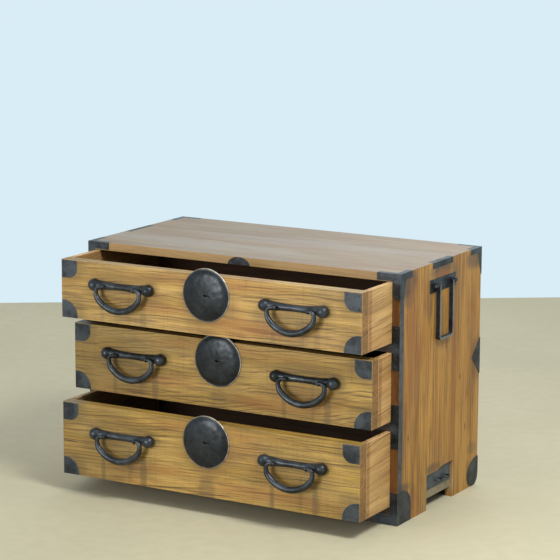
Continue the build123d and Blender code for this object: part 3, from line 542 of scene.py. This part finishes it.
def bail(name, joint, body, node):
    """A warabite handle: thin where it curls through its eyes, swelling to the grip."""
    x0, y0, z0 = joints[joint]["pos_m"]
    curl_x = bail_half_w - curl_r
    straight_x = bail_tip_x + tip_round[-1][0]
    half = [(bail_tip_x + d, 0.0, r) for d, r in tip_round]
    half += [(straight_x + (curl_x - straight_x) * k / 4, 0.0, end_thick) for k in range(1, 4)]
    bends = (  # middle, radius, angles, thicknesses and steps
        ((curl_x, -curl_r), curl_r, (quarter, 0.0), (end_thick, curl_thick), 12),
        ((side_x, -curl_r), bend_r, (0.0, side_end), (curl_thick, side_thick), 14),
        ((0.0, grip_r - bail_drop), grip_r, (side_end, -quarter), (side_thick, grip_thick), 12),
    )
    for middle, major, angles, radii, steps in bends:
        for k in range(steps):
            share = k / steps
            angle = angles[0] + (angles[1] - angles[0]) * share
            thick = radii[0] + (radii[1] - radii[0]) * share
            half.append((middle[0] + major * math.cos(angle), middle[1] + major * math.sin(angle), thick))
    whole = half + [(0.0, -bail_drop, grip_thick)] + [(-x, z, r) for x, z, r in reversed(half)]
    path = [Vector((x0 + x * mm, y0, z0 + z * mm)) for x, z, r in whole]
    verts, faces = tube(path, [r * mm for x, z, r in whole], 28)
    for v in verts:
        below = min(1.0, max(0.0, (z0 - v.z - dents_from) / (dents_full - dents_from)))
        v += Vector((v.x - x0, 0, v.z - z0)).normalized() * wobble(v, *bail_dents) * below
    return place(add_mesh(name, verts, faces), handle_iron, body, node)


def ray_to_circle(centre, radius, start, direction):
    """How far a ray goes before it leaves a circle, or 0.

    Centre and start are distances out from the drawer's front, and the direction is (out, up).
    """
    dx = start - centre
    inside_part = (dx * direction[0]) ** 2 - dx * dx + radius * radius
    return max(0.0, math.sqrt(max(0.0, inside_part)) - dx * direction[0])


bar_half_l, bar_end_r, bar_waist_r, bar_lift = 78.8, 13.5, 8.4, 3.0
knob_r, knob_lift = 14.4, 6.0
blend_reach, blend_rise = 8, 1.4  # where bar and knob differ by less than the reach, the surface rises
end_rings, close_rings, wide_rings = 14, 13, 13
close_gap, wide_gap = 1.3, 4.7
dented_from, dent_out = 2, 0.1 * mm  # the bars stay true at the drawer's face, and bulge hardly at all


def handle_bars(name, drawer, body, node):
    """The bars that the bails hang on: turned, with a knob at each end, and cut flat against the drawer."""
    low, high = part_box(node)
    z0, face_y = (low.z + high.z) / 2, high.y
    arc_r = (bar_half_l**2 + (bar_end_r - bar_waist_r) ** 2) / (2 * (bar_end_r - bar_waist_r))
    count = 26
    near = [bar_half_l + knob_r * math.sin(quarter * k / end_rings) for k in range(end_rings, 0, -1)]
    near += [bar_half_l - close_gap * k for k in range(close_rings)]
    near += [bar_half_l - close_gap * close_rings - wide_gap * k for k in range(wide_rings)]
    stations = [-s for s in near] + [0.0] + list(reversed(near))
    parts = []
    for side, _ in sides:
        x0 = joints[f"{drawer}_drawer_{side}_handle_hinge"]["pos_m"][0]
        verts, faces = [], []
        for s in stations:
            beyond = abs(s) - bar_half_l
            body_r = 0.0 if beyond > 0 else bar_waist_r + arc_r - math.sqrt(arc_r**2 - s * s)
            ball_r = math.sqrt(max(0.0, knob_r**2 - beyond**2))
            on_face = max(body_r**2 - bar_lift**2, ball_r**2 - knob_lift**2, 0.0) ** 0.5
            widest = math.atan2(on_face, -knob_lift)
            for k in range(count):
                angle = widest * (1 - 2 * k / (count - 1))
                d = (math.cos(angle), math.sin(angle))
                ball = ray_to_circle(knob_lift, ball_r, knob_lift, d)
                bar = ray_to_circle(bar_lift, body_r, knob_lift, d)
                t = max(ball, bar)
                if body_r:
                    t += max(0.0, 1 - abs(ball - bar) / blend_reach) ** 2 * blend_rise
                out, up = max(0.0, knob_lift + t * d[0]), t * d[1]
                point = Vector((x0 + s * mm, face_y - out * mm, z0 + up * mm))
                if out > dented_from:
                    dent = min(dent_out, wobble(point, *bar_dents))
                    point += Vector((0, -out, up)).normalized() * dent
                verts.append(point)
        last = (len(stations) - 1) * count
        for a in range(0, last, count):
            for k in range(count):
                n = (k + 1) % count
                faces.append((a + k, a + count + k, a + count + n, a + n))
        faces.append(tuple(range(count)))
        faces.append(tuple(reversed(range(last, last + count))))
        parts.append((verts, faces))
    obj = add_mesh(name, *joined(*parts))
    bm = bmesh.new()
    bm.from_mesh(obj.data)
    bmesh.ops.remove_doubles(bm, verts=bm.verts, dist=0.02 * mm)
    bmesh.ops.recalc_face_normals(bm, faces=bm.faces)
    bm.to_mesh(obj.data)
    bm.free()
    obj.data.shade_smooth()
    obj.data.set_sharp_from_angle(angle=sharp_angle)
    return place(obj, handle_iron, body, node)


# --- lock plates, in millimetres ---

keyhole_r, keyway_l, keyway_half_h = 2.8, 14.0, 1.5
sheet_t, bead_r, disc_r, flat_r, dome_r, crown_end = 1.2, 1.2, 65.0, 62.5, 60.5, 44.0
back_r, key_mean_r = 60.0, 8
crown_slope, foot_slope = math.radians(8), math.radians(30)
crown_r = crown_end / math.sin(crown_slope)
shoulder_r = (dome_r - crown_end) / (math.sin(foot_slope) - math.sin(crown_slope))
shoulder_x = crown_end - shoulder_r * math.sin(crown_slope)
shoulder_h = sheet_t - shoulder_r * math.cos(foot_slope)
crown_h = shoulder_h + shoulder_r * math.cos(crown_slope) - crown_r * math.cos(crown_slope)
keyhole_round = (0.5, 0.05)  # how far the keyhole's rounded edge is wider, and higher
face_rings = (16.5, 20, 24, 28, 32, 36, 40, 44, 47, 50, 53, 56, 58.5)
back_rings = (56, 50, 44, 34, 24, 17)
bead_steps = 8


def key_edge(angle, grow):
    """The keyhole's outline from its middle: a round hole with a slot to one side, all wider by grow."""
    hole_r, slot_l, slot_half_h = keyhole_r + grow, keyway_l + grow, keyway_half_h + grow
    c, s = math.cos(angle), abs(math.sin(angle))
    if c <= 0 or s * slot_l > slot_half_h * 1.02 * c and slot_half_h * c / max(s, 1e-9) < hole_r:
        return hole_r
    return max(hole_r, min(slot_l / c, slot_half_h / max(s, 1e-9)))


def plate_height(r):
    """The front of the plate above the drawer's front, at a radius."""
    if r < crown_end:
        return crown_h + math.sqrt(crown_r**2 - r * r)
    return shoulder_h + math.sqrt(shoulder_r**2 - (r - shoulder_x) ** 2)


def lock_plate(name, node, body):
    """A round domed plate with a flatter crown, a rolled edge and a keyhole."""
    low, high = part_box(node)
    cz = (low.z + high.z) / 2
    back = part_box(node.replace("lock_plate", "front"))[0].y
    turns = 144
    at_key = plate_height(key_mean_r)
    # Rings from the keyhole over the front to the back: radius or None, the keyhole's growth, and height.
    rows = [(None, 0.0, at_key), (None, keyhole_round[0], at_key + keyhole_round[1])]
    rows += [(r, 0, plate_height(r)) for r in face_rings]
    rows += [(dome_r, 0, sheet_t), (flat_r, 0, sheet_t)]
    bead_start = len(rows)
    for k in range(bead_steps + 1):
        angle = math.pi * k / bead_steps
        rows.append((disc_r - bead_r - bead_r * math.cos(angle), 0, sheet_t + bead_r * math.sin(angle)))
    bead_rows = range(bead_start, len(rows))
    rows += [(disc_r, 0, 0.0), (back_r, 0, 0.0)]
    rows += [(r, 0, plate_height(r) - sheet_t) for r in back_rings] + [(None, 0.0, at_key - sheet_t)]
    verts, faces = [], []
    for r, grow, h in rows:
        for k in range(turns):
            angle = 2 * math.pi * k / turns
            away = (r if r is not None else key_edge(angle, grow)) * mm
            point = Vector((away * math.cos(angle), back - h * mm, cz + away * math.sin(angle)))
            if r is not None and r < dome_r and h > sheet_t:
                point.y += wobble(point, *plate_dents)
            verts.append(point)
    for i in range(len(rows)):
        a, b = i * turns, ((i + 1) % len(rows)) * turns
        for k in range(turns):
            n = (k + 1) % turns
            faces.append((a + k, a + n, b + n, b + k))
    obj = add_mesh(name, verts, faces)
    # The rolled edge is marked worn: pale partly from wear and, at the upper right, as a painted highlight.
    worn = obj.data.attributes.new("worn", "FLOAT", "POINT")
    for i, item in enumerate(worn.data):
        item.value = 1.0 if i // turns in bead_rows else 0.0
    obj.data.set_sharp_from_angle(angle=sharp_angle)
    material = iron(name, srgb(27, 30, 34), rust=0.05, rubbed=0.95, hammer=0.2,
                    rough=(0.28, 0.38), seed=cz * 9, brushed=(0.0, cz), pale=srgb(186, 174, 156))
    return place(obj, material, body, node)


# --- fasteners ---

nail_length, nail_width = (11.5 * mm, 13.5 * mm), 5 * mm  # which of a node's solids are nails
head_zone, same_width, head_h = 0.9 * mm, 0.4 * mm, 0.8 * mm
inner_point = (0.0, 0.22, 0.3)  # flush nails have their heads away from this point
# Radius and height above the seat, in millimetres.
flush_nail = [(0.9, -3), (2.1, -1.2), (2.15, -0.05), (1.6, 0.0), (0.4, 0.0)]
proud_nail = [(0.9, -3), (0.9, -0.3), (2.2, -0.25), (2.2, 0.05), (1.9, 0.45), (1.2, 0.7), (0.35, 0.78)]


def nail_heads(node):
    """A hand-made nail at each nail of a CAD node, found from the node's separate solids."""
    bm = clean_copy(node)
    parts = []
    for group in islands(bm):
        points = [v.co for v in group]
        low = Vector(min(p[i] for p in points) for i in range(3))
        high = Vector(max(p[i] for p in points) for i in range(3))
        size = high - low
        axis = max(range(3), key=lambda i: size[i])
        thick = max(size[i] for i in range(3) if i != axis)
        if not nail_length[0] < size[axis] < nail_length[1] or thick > nail_width:
            continue
        middle = (low + high) / 2
        widths = []
        for end in (low, high):
            near = [p for p in points if abs(p[axis] - end[axis]) < head_zone]
            widths.append(max((p - middle)[(axis + 1) % 3] for p in near))
        flush = abs(widths[0] - widths[1]) < same_width
        if flush:
            head_low = abs(low[axis] - inner_point[axis]) > abs(high[axis] - inner_point[axis])
        else:
            head_low = widths[0] > widths[1]
        out = Vector((0, 0, 0))
        out[axis] = -1.0 if head_low else 1.0
        seat = middle.copy()
        seat[axis] = (low if head_low else high)[axis] - (0.0 if flush else out[axis] * head_h)
        profile = flush_nail if flush else proud_nail
        parts.append(turned([(r * mm, h * mm) for r, h in profile], seat, out))
    bm.free()
    return parts


def eye(centre, bore, outer, width, axis):
    """A flattened ring, the head of a split pin or staple: its radii and width in millimetres."""
    axis = Vector(axis)
    side = axis.orthogonal().normalized()
    over = axis.cross(side)
    ring_r, wire = (bore + outer) / 2, (outer - bore) / 2
    count = 40
    turns = [2 * math.pi * k / count for k in range(count)]
    path = [centre + (side * math.cos(t) + over * math.sin(t)) * ring_r * mm for t in turns]
    return tube(path, [wire * mm] * count, 16, closed=True, up=axis, flat=width / (2 * wire))


def rod(start, end, radius, flat=1.0, up=Vector((0, 0, 1)), taper=1.0):
    """A forged rod. Taper is how thick its ends are, as a share of its middle."""
    steps = 8
    path = [start + (end - start) * (k / steps) for k in range(steps + 1)]
    radii = [radius * (1 + (taper - 1) * abs(2 * k / steps - 1)) for k in range(steps + 1)]
    return tube(path, radii, 14, up=up, flat=flat, hammer=rod_dents)


rod_dents, loop_dents = 0.08 * mm, 0.15 * mm
# Radii and width of the eyes, in millimetres.
pin_eye, staple_eye = (4.28, 6.58, 4.5), (3.68, 6.18, 6.0)
pin_x, pin_r, pin_start, pin_past = 46.5 * mm, 2.9 * mm, 4.6 * mm, 1 * mm
clinch_half_h, clinch_r, clinch_flat, clinch_out = 11.8 * mm, 2.8 * mm, 0.42, 1.25 * mm


def drawer_fasteners(drawer, body):
    """Split pins with their eyes and clinched tails, and the nails of the corner plates and lock case."""
    node = f"{drawer}_drawer_fasteners"
    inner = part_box(f"{drawer}_drawer_front")[1].y
    parts = nail_heads(node)
    for side, _ in sides:
        x0, y0, z0 = joints[f"{drawer}_drawer_{side}_handle_hinge"]["pos_m"]
        for step in (-pin_x, pin_x):
            centre = Vector((x0 + step, y0, z0))
            tail = Vector((centre.x, inner + pin_past, z0))
            parts.append(eye(centre, *pin_eye, (1, 0, 0)))
            parts.append(rod(centre + Vector((0, pin_start, 0)), tail, pin_r))
            clinch = Vector((centre.x, inner + clinch_out, z0))
            reach = Vector((0, 0, clinch_half_h))
            parts.append(rod(clinch - reach, clinch + reach, clinch_r, clinch_flat, Vector((0, 1, 0)), 0.6))
    return place(add_mesh(node + "_look", *joined(*parts)), nail_iron, body, node)


staple_y, staple_r, staple_start, staple_end = 50 * mm, 2.4 * mm, 4.0 * mm, 24 * mm
loop_ys, loop_z, loop_r, loop_wire, loop_foot = (225.5, 264.5), 61.0, 12.0, 2.35, 434.2  # millimetres
loop_legs = (9.5, 5, 1)  # how deep the legs' points are behind the plate


def carcass_fasteners():
    """Nails, the staples of the carrying handles and the loops on the notch plates."""
    node = "carcass_fasteners"
    parts = nail_heads(node)
    for side, sign in sides:
        x0, y0, z0 = joints[f"{side}_side_handle_hinge"]["pos_m"]
        inward = Vector((-sign, 0, 0))
        for step in (-staple_y, staple_y):
            centre = Vector((x0, y0 + step, z0))
            parts.append(eye(centre, *staple_eye, (0, 1, 0)))
            parts.append(rod(centre + inward * staple_start, centre + inward * staple_end, staple_r))
        for loop_y in loop_ys:
            path = [(loop_foot - d, loop_y - loop_r) for d in loop_legs]
            for t in (math.pi * k / 18 for k in range(19)):
                path.append((loop_foot + loop_r * math.sin(t), loop_y - loop_r * math.cos(t)))
            path += [(loop_foot - d, loop_y + loop_r) for d in reversed(loop_legs)]
            wire = [Vector((sign * x, y, loop_z)) * mm for x, y in path]
            parts.append(tube(wire, [loop_wire * mm] * len(wire), 14, up=Vector((0, 0, 1)), hammer=loop_dents))
    return place(add_mesh(node + "_look", *joined(*parts)), nail_iron, "carcass", node)


# --- iron pieces ---

for drawer in drawers:
    body = f"{drawer}_drawer"
    handle_bars(f"{drawer}_drawer_handle_bars_look", drawer, body, f"{drawer}_drawer_handle_bars")
    lock_plate(f"{drawer}_drawer_lock_plate_look", f"{drawer}_drawer_lock_plate", body)
    drawer_fasteners(drawer, body)
    dressed(f"{drawer}_drawer_corner_plates", 0.45 * mm, plate_iron, body, shortest=2 * mm)
    dressed(f"{drawer}_drawer_lock_case", 0.3 * mm, nail_iron, body, shortest=5 * mm)
    dressed(f"{drawer}_drawer_lock_bolt", 0.4 * mm, nail_iron, f"{drawer}_drawer_lock_bolt_body")
    for side, _ in sides:
        handle = f"{drawer}_drawer_{side}_handle"
        bail(handle + "_look", handle + "_hinge", handle + "_body", handle)
carcass_fasteners()
for node, material in (
    ("top_front_corners", plate_iron),
    # The side edge strips take a lighter iron partly as painted light on the side face, and the stile straps
    # the darker iron as painted shade.
    ("side_edge_strips", strip_iron),
    ("stile_straps", dark_iron),
    ("base_front_corners", plate_iron),
    ("rear_top_corners", plate_iron),
    ("rear_edge_plates", plate_iron),
    ("side_handle_plates", dark_iron),
    ("notch_plates", notch_iron),
    ("strike_plates", dark_iron),
):
    dressed(node, 0.5 * mm, material, "carcass", shortest=2 * mm)
for side, _ in sides:
    handle = f"{side}_side_handle"
    dressed(handle, 0.9 * mm, carry_iron, handle + "_body", shortest=3 * mm, segments=3)


# --- drawers, wood ---

# For each drawer: the wood, where the pith lies above the front's middle and behind it, its tilt, and how
# strong the painted shade at the left end, the drips and the drip below the lock plate are.
fronts = {
    "top": (honey, (-0.30, 0.10), 0.10, 0.12, 0.5, 0.0),
    "middle": (olive, (0.26, 0.12), -0.14, 0.3, 0.8, 0.22),
    "bottom": (olive, (-0.26, 0.16), 0.08, 0.3, 1.0, 0.44),
}
# Beside each handle's middle: how far, half width and power.
drips = ((-0.058, 0.008, 0.45), (0.06, 0.011, 0.5), (0.02, 0.006, 0.25))


def front_spots(drawer, low, high, left_end_shade, drip, plate_drip):
    """Marks on a drawer's front: painted shade towards the left end, behind its keyhole and beside the right
    knobs, darker patches round the lock plate, behind the bails and at the corners, drips and red streaks.
    """
    lock_low, lock_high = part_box(f"{drawer}_drawer_lock_plate")
    lock_z = (lock_low.z + lock_high.z) / 2
    spots = [
        # painted shade: darker towards the left end of the front
        ((-0.36, 0, (low.z + high.z) / 2), (0.16, 0, 0.0), left_end_shade, stain_and_shade),
        # painted shade: black on the wood where the keyhole shows the dark inside
        ((0, 0, lock_z), (0.03, 0, 0.03), 1.0, black),  # seen through the keyhole
        ((0, 0, lock_z - 0.01), (0.085, 0, 0.085), 0.35, stain_and_shade),  # round the lock plate
        ((0.17, 0, low.z + 0.03), (0.16, 0, 0.022), 0.35, front_red),
        ((-0.13, 0, low.z + 0.05), (0.10, 0, 0.014), 0.3, front_red),
        ((0.02, 0, high.z - 0.02), (0.26, 0, 0.016), 0.22, front_red),
        ((0.0, 0, low.z + 0.01), (0.028, 0, 0.05), plate_drip, stain_and_shade),
    ]
    if drawer == "bottom":
        spots.append(((-0.400, 0, 0.1305), (0.030, 0, 0.0014), 0.9, crack))
    for side, sign in sides:
        x0, _, z0 = joints[f"{drawer}_drawer_{side}_handle_hinge"]["pos_m"]
        spots.append(((x0, 0, z0 - 0.03), (0.115, 0, 0.075), 0.2, stain_and_shade))  # behind the bail
        # painted shadow of the right knob on the front, beside it
        spots.append(((x0 + 0.084, 0, z0 + 0.004), (0.026, 0, 0.022), 0.35, stain_and_shade))  # beside its right knob
        for z in (low.z + 0.02, high.z - 0.02):
            spots.append(((sign * 0.40, 0, z), (0.055, 0, 0.05), 0.35, stain_and_shade))
        for shift, wide, power in drips:
            spots.append(((x0 + shift, 0, low.z + 0.02), (wide, 0, 0.085), power * drip, stain_and_shade))
    return spots


for k, drawer in enumerate(drawers):
    body = f"{drawer}_drawer"
    front = f"{drawer}_drawer_front"
    low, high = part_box(front)
    middle = (low.z + high.z) / 2
    tones, pith, tilt, left_end_shade, drip, plate_drip = fronts[drawer]
    full, faded = high.x - 0.4 * mm, high.x - 1.1 * mm
    material = wood(
        f"{drawer}_front_wood", 0, 2, tones, 3.1 + 5.3 * k,
        (middle + pith[0], high.y + pith[1]), tilt=tilt, spacing=0.0085, rings=0.8, fibres=0.6, bands=0.8,
        patches=0.5, chatter=0.16, spots=front_spots(drawer, low, high, left_end_shade, drip, plate_drip),
        ends=[(0, sign * full, sign * faded, 0.7, end_brown) for _, sign in sides],
    )
    dressed(front, 1.3 * mm, material, body, shortest=8 * mm, segments=3)
    for side, sign in sides:
        node = f"{drawer}_drawer_{side}_side"
        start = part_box(node)[0].y
        material = wood(
            f"{drawer}_{side}_side_wood", 1, 2, pale, 21.7 + 3.7 * k + sign,
            (middle - 0.3, sign * 0.5), tilt=0.02, spacing=0.0055, rings=0.85, fibres=0.6, bands=0.7,
            patches=0.35, chatter=0.05, rough=(0.5, 0.7), skew=0.09, waves=0.4,
            ends=[(1, start + 24.5 * mm, start + 25.5 * mm, 0.62, end_brown),  # the joint with the front
                  # the inner face is darker as painted shade
                  (0, sign * 406.3 * mm, sign * 407 * mm, 0.45, inner_shade_brown)],  # the inner face
        )
        dressed(node, 1.0 * mm, material, body, shortest=8 * mm)
    for part, along, across in (("back", 0, 2), ("bottom", 0, 1)):
        node = f"{drawer}_drawer_{part}"
        low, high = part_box(node)
        # The backs and bottoms take the inside wood, darker as painted shade.
        material = wood(
            f"{drawer}_{part}_wood", along, across, inside, 41.3 + 2.9 * k + along + across,
            (((low + high) / 2)[across] + 0.2, -0.2), rough=(0.6, 0.8),
        )
        dressed(node, 0.7 * mm, material, body, shortest=8 * mm)


# --- carcass, wood ---

# The top's grey and its pale grey streaks are partly weathering and partly a painted reflection of the
# backdrop seen at a low angle.
top_wood = wood(
    "top_board_wood", 0, 1, greyed_and_sheen, 61.9, (0.9, 0.3), spacing=0.012, rings=0.35, fibres=0.3,
    bands=0.6, patches=0.3, rough=(0.36, 0.52), worn=0.35, sheen=0.5,
    spots=[((0.1, 0.25, 0), (0.42, 0.05, 0), 0.25, bleach_and_sheen),
           ((-0.2, 0.12, 0), (0.36, 0.045, 0), 0.25, bleach_and_sheen_warm),
           ((0.3, 0.37, 0), (0.30, 0.035, 0), 0.2, top_brown)],
    ends=[(1, 0.7 * mm, 1.3 * mm, 0.8, edge_gold)],  # the front edge
)
dressed("top_board", 1.2 * mm, top_wood, "carcass", shortest=8 * mm, segments=3)

# On the side panels: knots by (y, z), then marks by (y, z, half width, half height, power).
knots = ((0.052, 0.205), (0.33, 0.30), (0.372, 0.25), (0.365, 0.165), (0.25, 0.39))
smudges = (
    (0.045, 0.585, 0.05, 0.04, 0.75), (0.05, 0.545, 0.03, 0.03, 0.5), (0.224, 0.587, 0.07, 0.024, 0.75),
    (0.155, 0.52, 0.02, 0.06, 0.5), (0.295, 0.56, 0.02, 0.05, 0.4), (0.03, 0.086, 0.04, 0.016, 0.6),
    (0.078, 0.05, 0.014, 0.04, 0.55), (0.185, 0.10, 0.05, 0.014, 0.6), (0.43, 0.33, 0.05, 0.06, 0.4),
    (0.405, 0.10, 0.03, 0.018, 0.35), (0.385, 0.04, 0.014, 0.04, 0.4), (0.40, 0.585, 0.05, 0.03, 0.65),
    (0.224, 0.47, 0.03, 0.06, 0.3), (0.012, 0.35, 0.008, 0.3, 0.4),
)
notch_end = (0.2975, 0.05, 0.005, 0.045, 0.7)
red_streaks = (
    (0.06, 0.42, 0.014, 0.24, 0.6), (0.20, 0.2, 0.012, 0.20, 0.45), (0.29, 0.26, 0.016, 0.30, 0.45),
    (0.224, 0.575, 0.05, 0.012, 0.6), (0.36, 0.35, 0.010, 0.25, 0.35), (0.09, 0.03, 0.03, 0.05, 0.5),
)
spots = []
for y, z in knots:
    spots.append(((0, y, z), (0, 0.006, 0.016), 0.5, panel[3]))
    spots.append(((0, y, z), (0, 0.0025, 0.006), 0.9, knot))
for group, tone in ((smudges, smoke), ((notch_end,), raw_end), (red_streaks, panel[3])):
    spots += [((0, y, z), (0, wide, tall), power, tone) for y, z, wide, tall, power in group]
for side, sign in sides:
    side_wood = wood(
        f"{side}_panel_wood", 2, 1, panel, 71.3 + 4 * sign, (0.62, sign * 0.5), tilt=0.02,
        spacing=0.0085, rings=0.62, fibres=0.55, bands=0.95, patches=0.5, chatter=0.05, waves=0.7,
        spots=spots,
        # the front edge is reddish and darker partly as painted shade; the inner face is near black as painted
        # shade
        ends=[(1, 0.8 * mm, 1.6 * mm, 0.8, shaded_stile_red),  # the front edge
              (0, sign * 420.3 * mm, sign * 421 * mm, 0.9, inner_shade_black)],  # the inner face
    )
    dressed(f"{side}_side_panel", 1.2 * mm, side_wood, "carcass", shortest=8 * mm, segments=3)

split_ends = [(0, sign * 421.5 * mm, sign * 420.5 * mm, 0.85, split_end) for _, sign in sides]
for node, along, across, seed in (
    ("bottom_board", 0, 1, 81.0),
    ("upper_divider", 0, 2, 83.5),
    ("lower_divider", 0, 2, 86.1),
    ("front_base_rail", 0, 2, 88.9),
):
    low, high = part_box(node)
    pith = ((low[across] + high[across]) / 2 + 0.2, -0.2)
    rail_wood = wood(f"{node}_wood", along, across, shadowed, seed, pith, ends=split_ends)
    dressed(node, 1.0 * mm, rail_wood, "carcass", shortest=8 * mm)
for node, along, across, seed in (("back_panel", 0, 2, 91.0), ("rear_base_rail", 0, 2, 93.0)):
    low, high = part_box(node)
    pith = ((low[across] + high[across]) / 2 + 0.4, 0.9)
    inner_wood = wood(f"{node}_wood", along, across, raw, seed, pith, spacing=0.011,
                      patches=0.4, rough=(0.6, 0.8))
    dressed(node, 0.8 * mm, inner_wood, "carcass", shortest=8 * mm)


# --- floor ---

camera_place = (2.8449, -4.7096, 1.6101)
turn, down, roll = math.radians(30.09), math.radians(10.875), math.radians(0.221)
lens, sensor = 148.5, 36.0
floor_half, floor_turn = 2.49, turn + math.radians(4)  # its far edge is the line behind the chest

c, s = math.cos(floor_turn) * floor_half, math.sin(floor_turn) * floor_half
corners = [(x * c - y * s, x * s + y * c, 0) for x, y in ((-1, -1), (1, -1), (1, 1), (-1, 1))]
floor = add_mesh("floor", corners, [(0, 1, 2, 3)], smooth=False)
floor_look = bpy.data.materials.new("floor_pale")
g = Graph(floor_look)
speck = g.noise(g.coords, 26.0, 3.0)
tone = g.noise(g.coords, 1.2, 2.0)
floor_colour = g.mix(g.steps(tone, 0.3, 0.7), srgb(186, 180, 152), srgb(196, 190, 162))
floor_colour = g.mix(g.mul(g.steps(speck, 0.3, 0.7), 0.25), floor_colour, srgb(176, 170, 142))
g.finish(floor_colour, 0.7, g.bump(speck, 0.1, 1 * mm), specular=0.3)
floor.data.materials.append(floor_look)


# --- light ---

# The camera and reflections see the backdrop; the chest is lit by the skylight.
backdrop, skylight, skylight_strength = srgb(217, 237, 246), (0.93, 0.97, 1.0, 1.0), 0.5
world = bpy.data.worlds.new("studio")
bpy.context.scene.world = world
world.use_nodes = True
tree = world.node_tree
tree.nodes.clear()
out = tree.nodes.new("ShaderNodeOutputWorld")
shown = tree.nodes.new("ShaderNodeBackground")
lighting = tree.nodes.new("ShaderNodeBackground")
choose = tree.nodes.new("ShaderNodeMixShader")
rays = tree.nodes.new("ShaderNodeLightPath")
either = tree.nodes.new("ShaderNodeMath")
either.operation = "MAXIMUM"
shown.inputs["Color"].default_value = backdrop
shown.inputs["Strength"].default_value = 1.0
lighting.inputs["Color"].default_value = skylight
lighting.inputs["Strength"].default_value = skylight_strength
tree.links.new(rays.outputs["Is Camera Ray"], either.inputs[0])
tree.links.new(rays.outputs["Is Glossy Ray"], either.inputs[1])
tree.links.new(either.outputs[0], choose.inputs[0])
tree.links.new(lighting.outputs[0], choose.inputs[1])
tree.links.new(shown.outputs[0], choose.inputs[2])
tree.links.new(choose.outputs[0], out.inputs[0])

# Azimuth from the front towards the right and elevation, in degrees, then distance, width, watts and colour.
lamps = {
    "key": (-17, 9, 4.5, 1.5, 95, (1.0, 0.985, 0.96)),
    "overhead": (64, 50, 3.2, 0.9, 80, (1.0, 0.99, 0.97)),
    "rear": (190, 45, 4.0, 2.4, 40, (0.96, 0.98, 1.0)),
}
aim = Vector((0, 0.15, 0.3))
for name, (azimuth, elevation, distance, width, power, colour) in lamps.items():
    lamp = bpy.data.lights.new(name, "AREA")
    lamp.size = width
    lamp.energy = power
    lamp.color = colour
    obj = bpy.data.objects.new(name, lamp)
    bpy.context.scene.collection.objects.link(obj)
    a, e = math.radians(azimuth), math.radians(elevation)
    away = Vector((math.sin(a) * math.cos(e), -math.cos(a) * math.cos(e), math.sin(e)))
    obj.location = aim + distance * away
    obj.rotation_euler = (aim - obj.location).to_track_quat("-Z", "Y").to_euler()


# --- camera ---

ahead = Vector((-math.sin(turn) * math.cos(down), math.cos(turn) * math.cos(down), -math.sin(down)))
right = Vector((math.cos(turn), math.sin(turn), 0))
up = right.cross(ahead)
right, up = right * math.cos(roll) + up * math.sin(roll), up * math.cos(roll) - right * math.sin(roll)
camera = bpy.data.cameras.new("camera")
camera.sensor_width = sensor
camera.lens = lens
camera_object = bpy.data.objects.new("camera", camera)
bpy.context.scene.collection.objects.link(camera_object)
rotation = Matrix((right, up, -ahead)).transposed().to_4x4()
camera_object.matrix_world = Matrix.Translation(camera_place) @ rotation
bpy.context.scene.camera = camera_object
bpy.context.scene.view_settings.view_transform = "Standard"
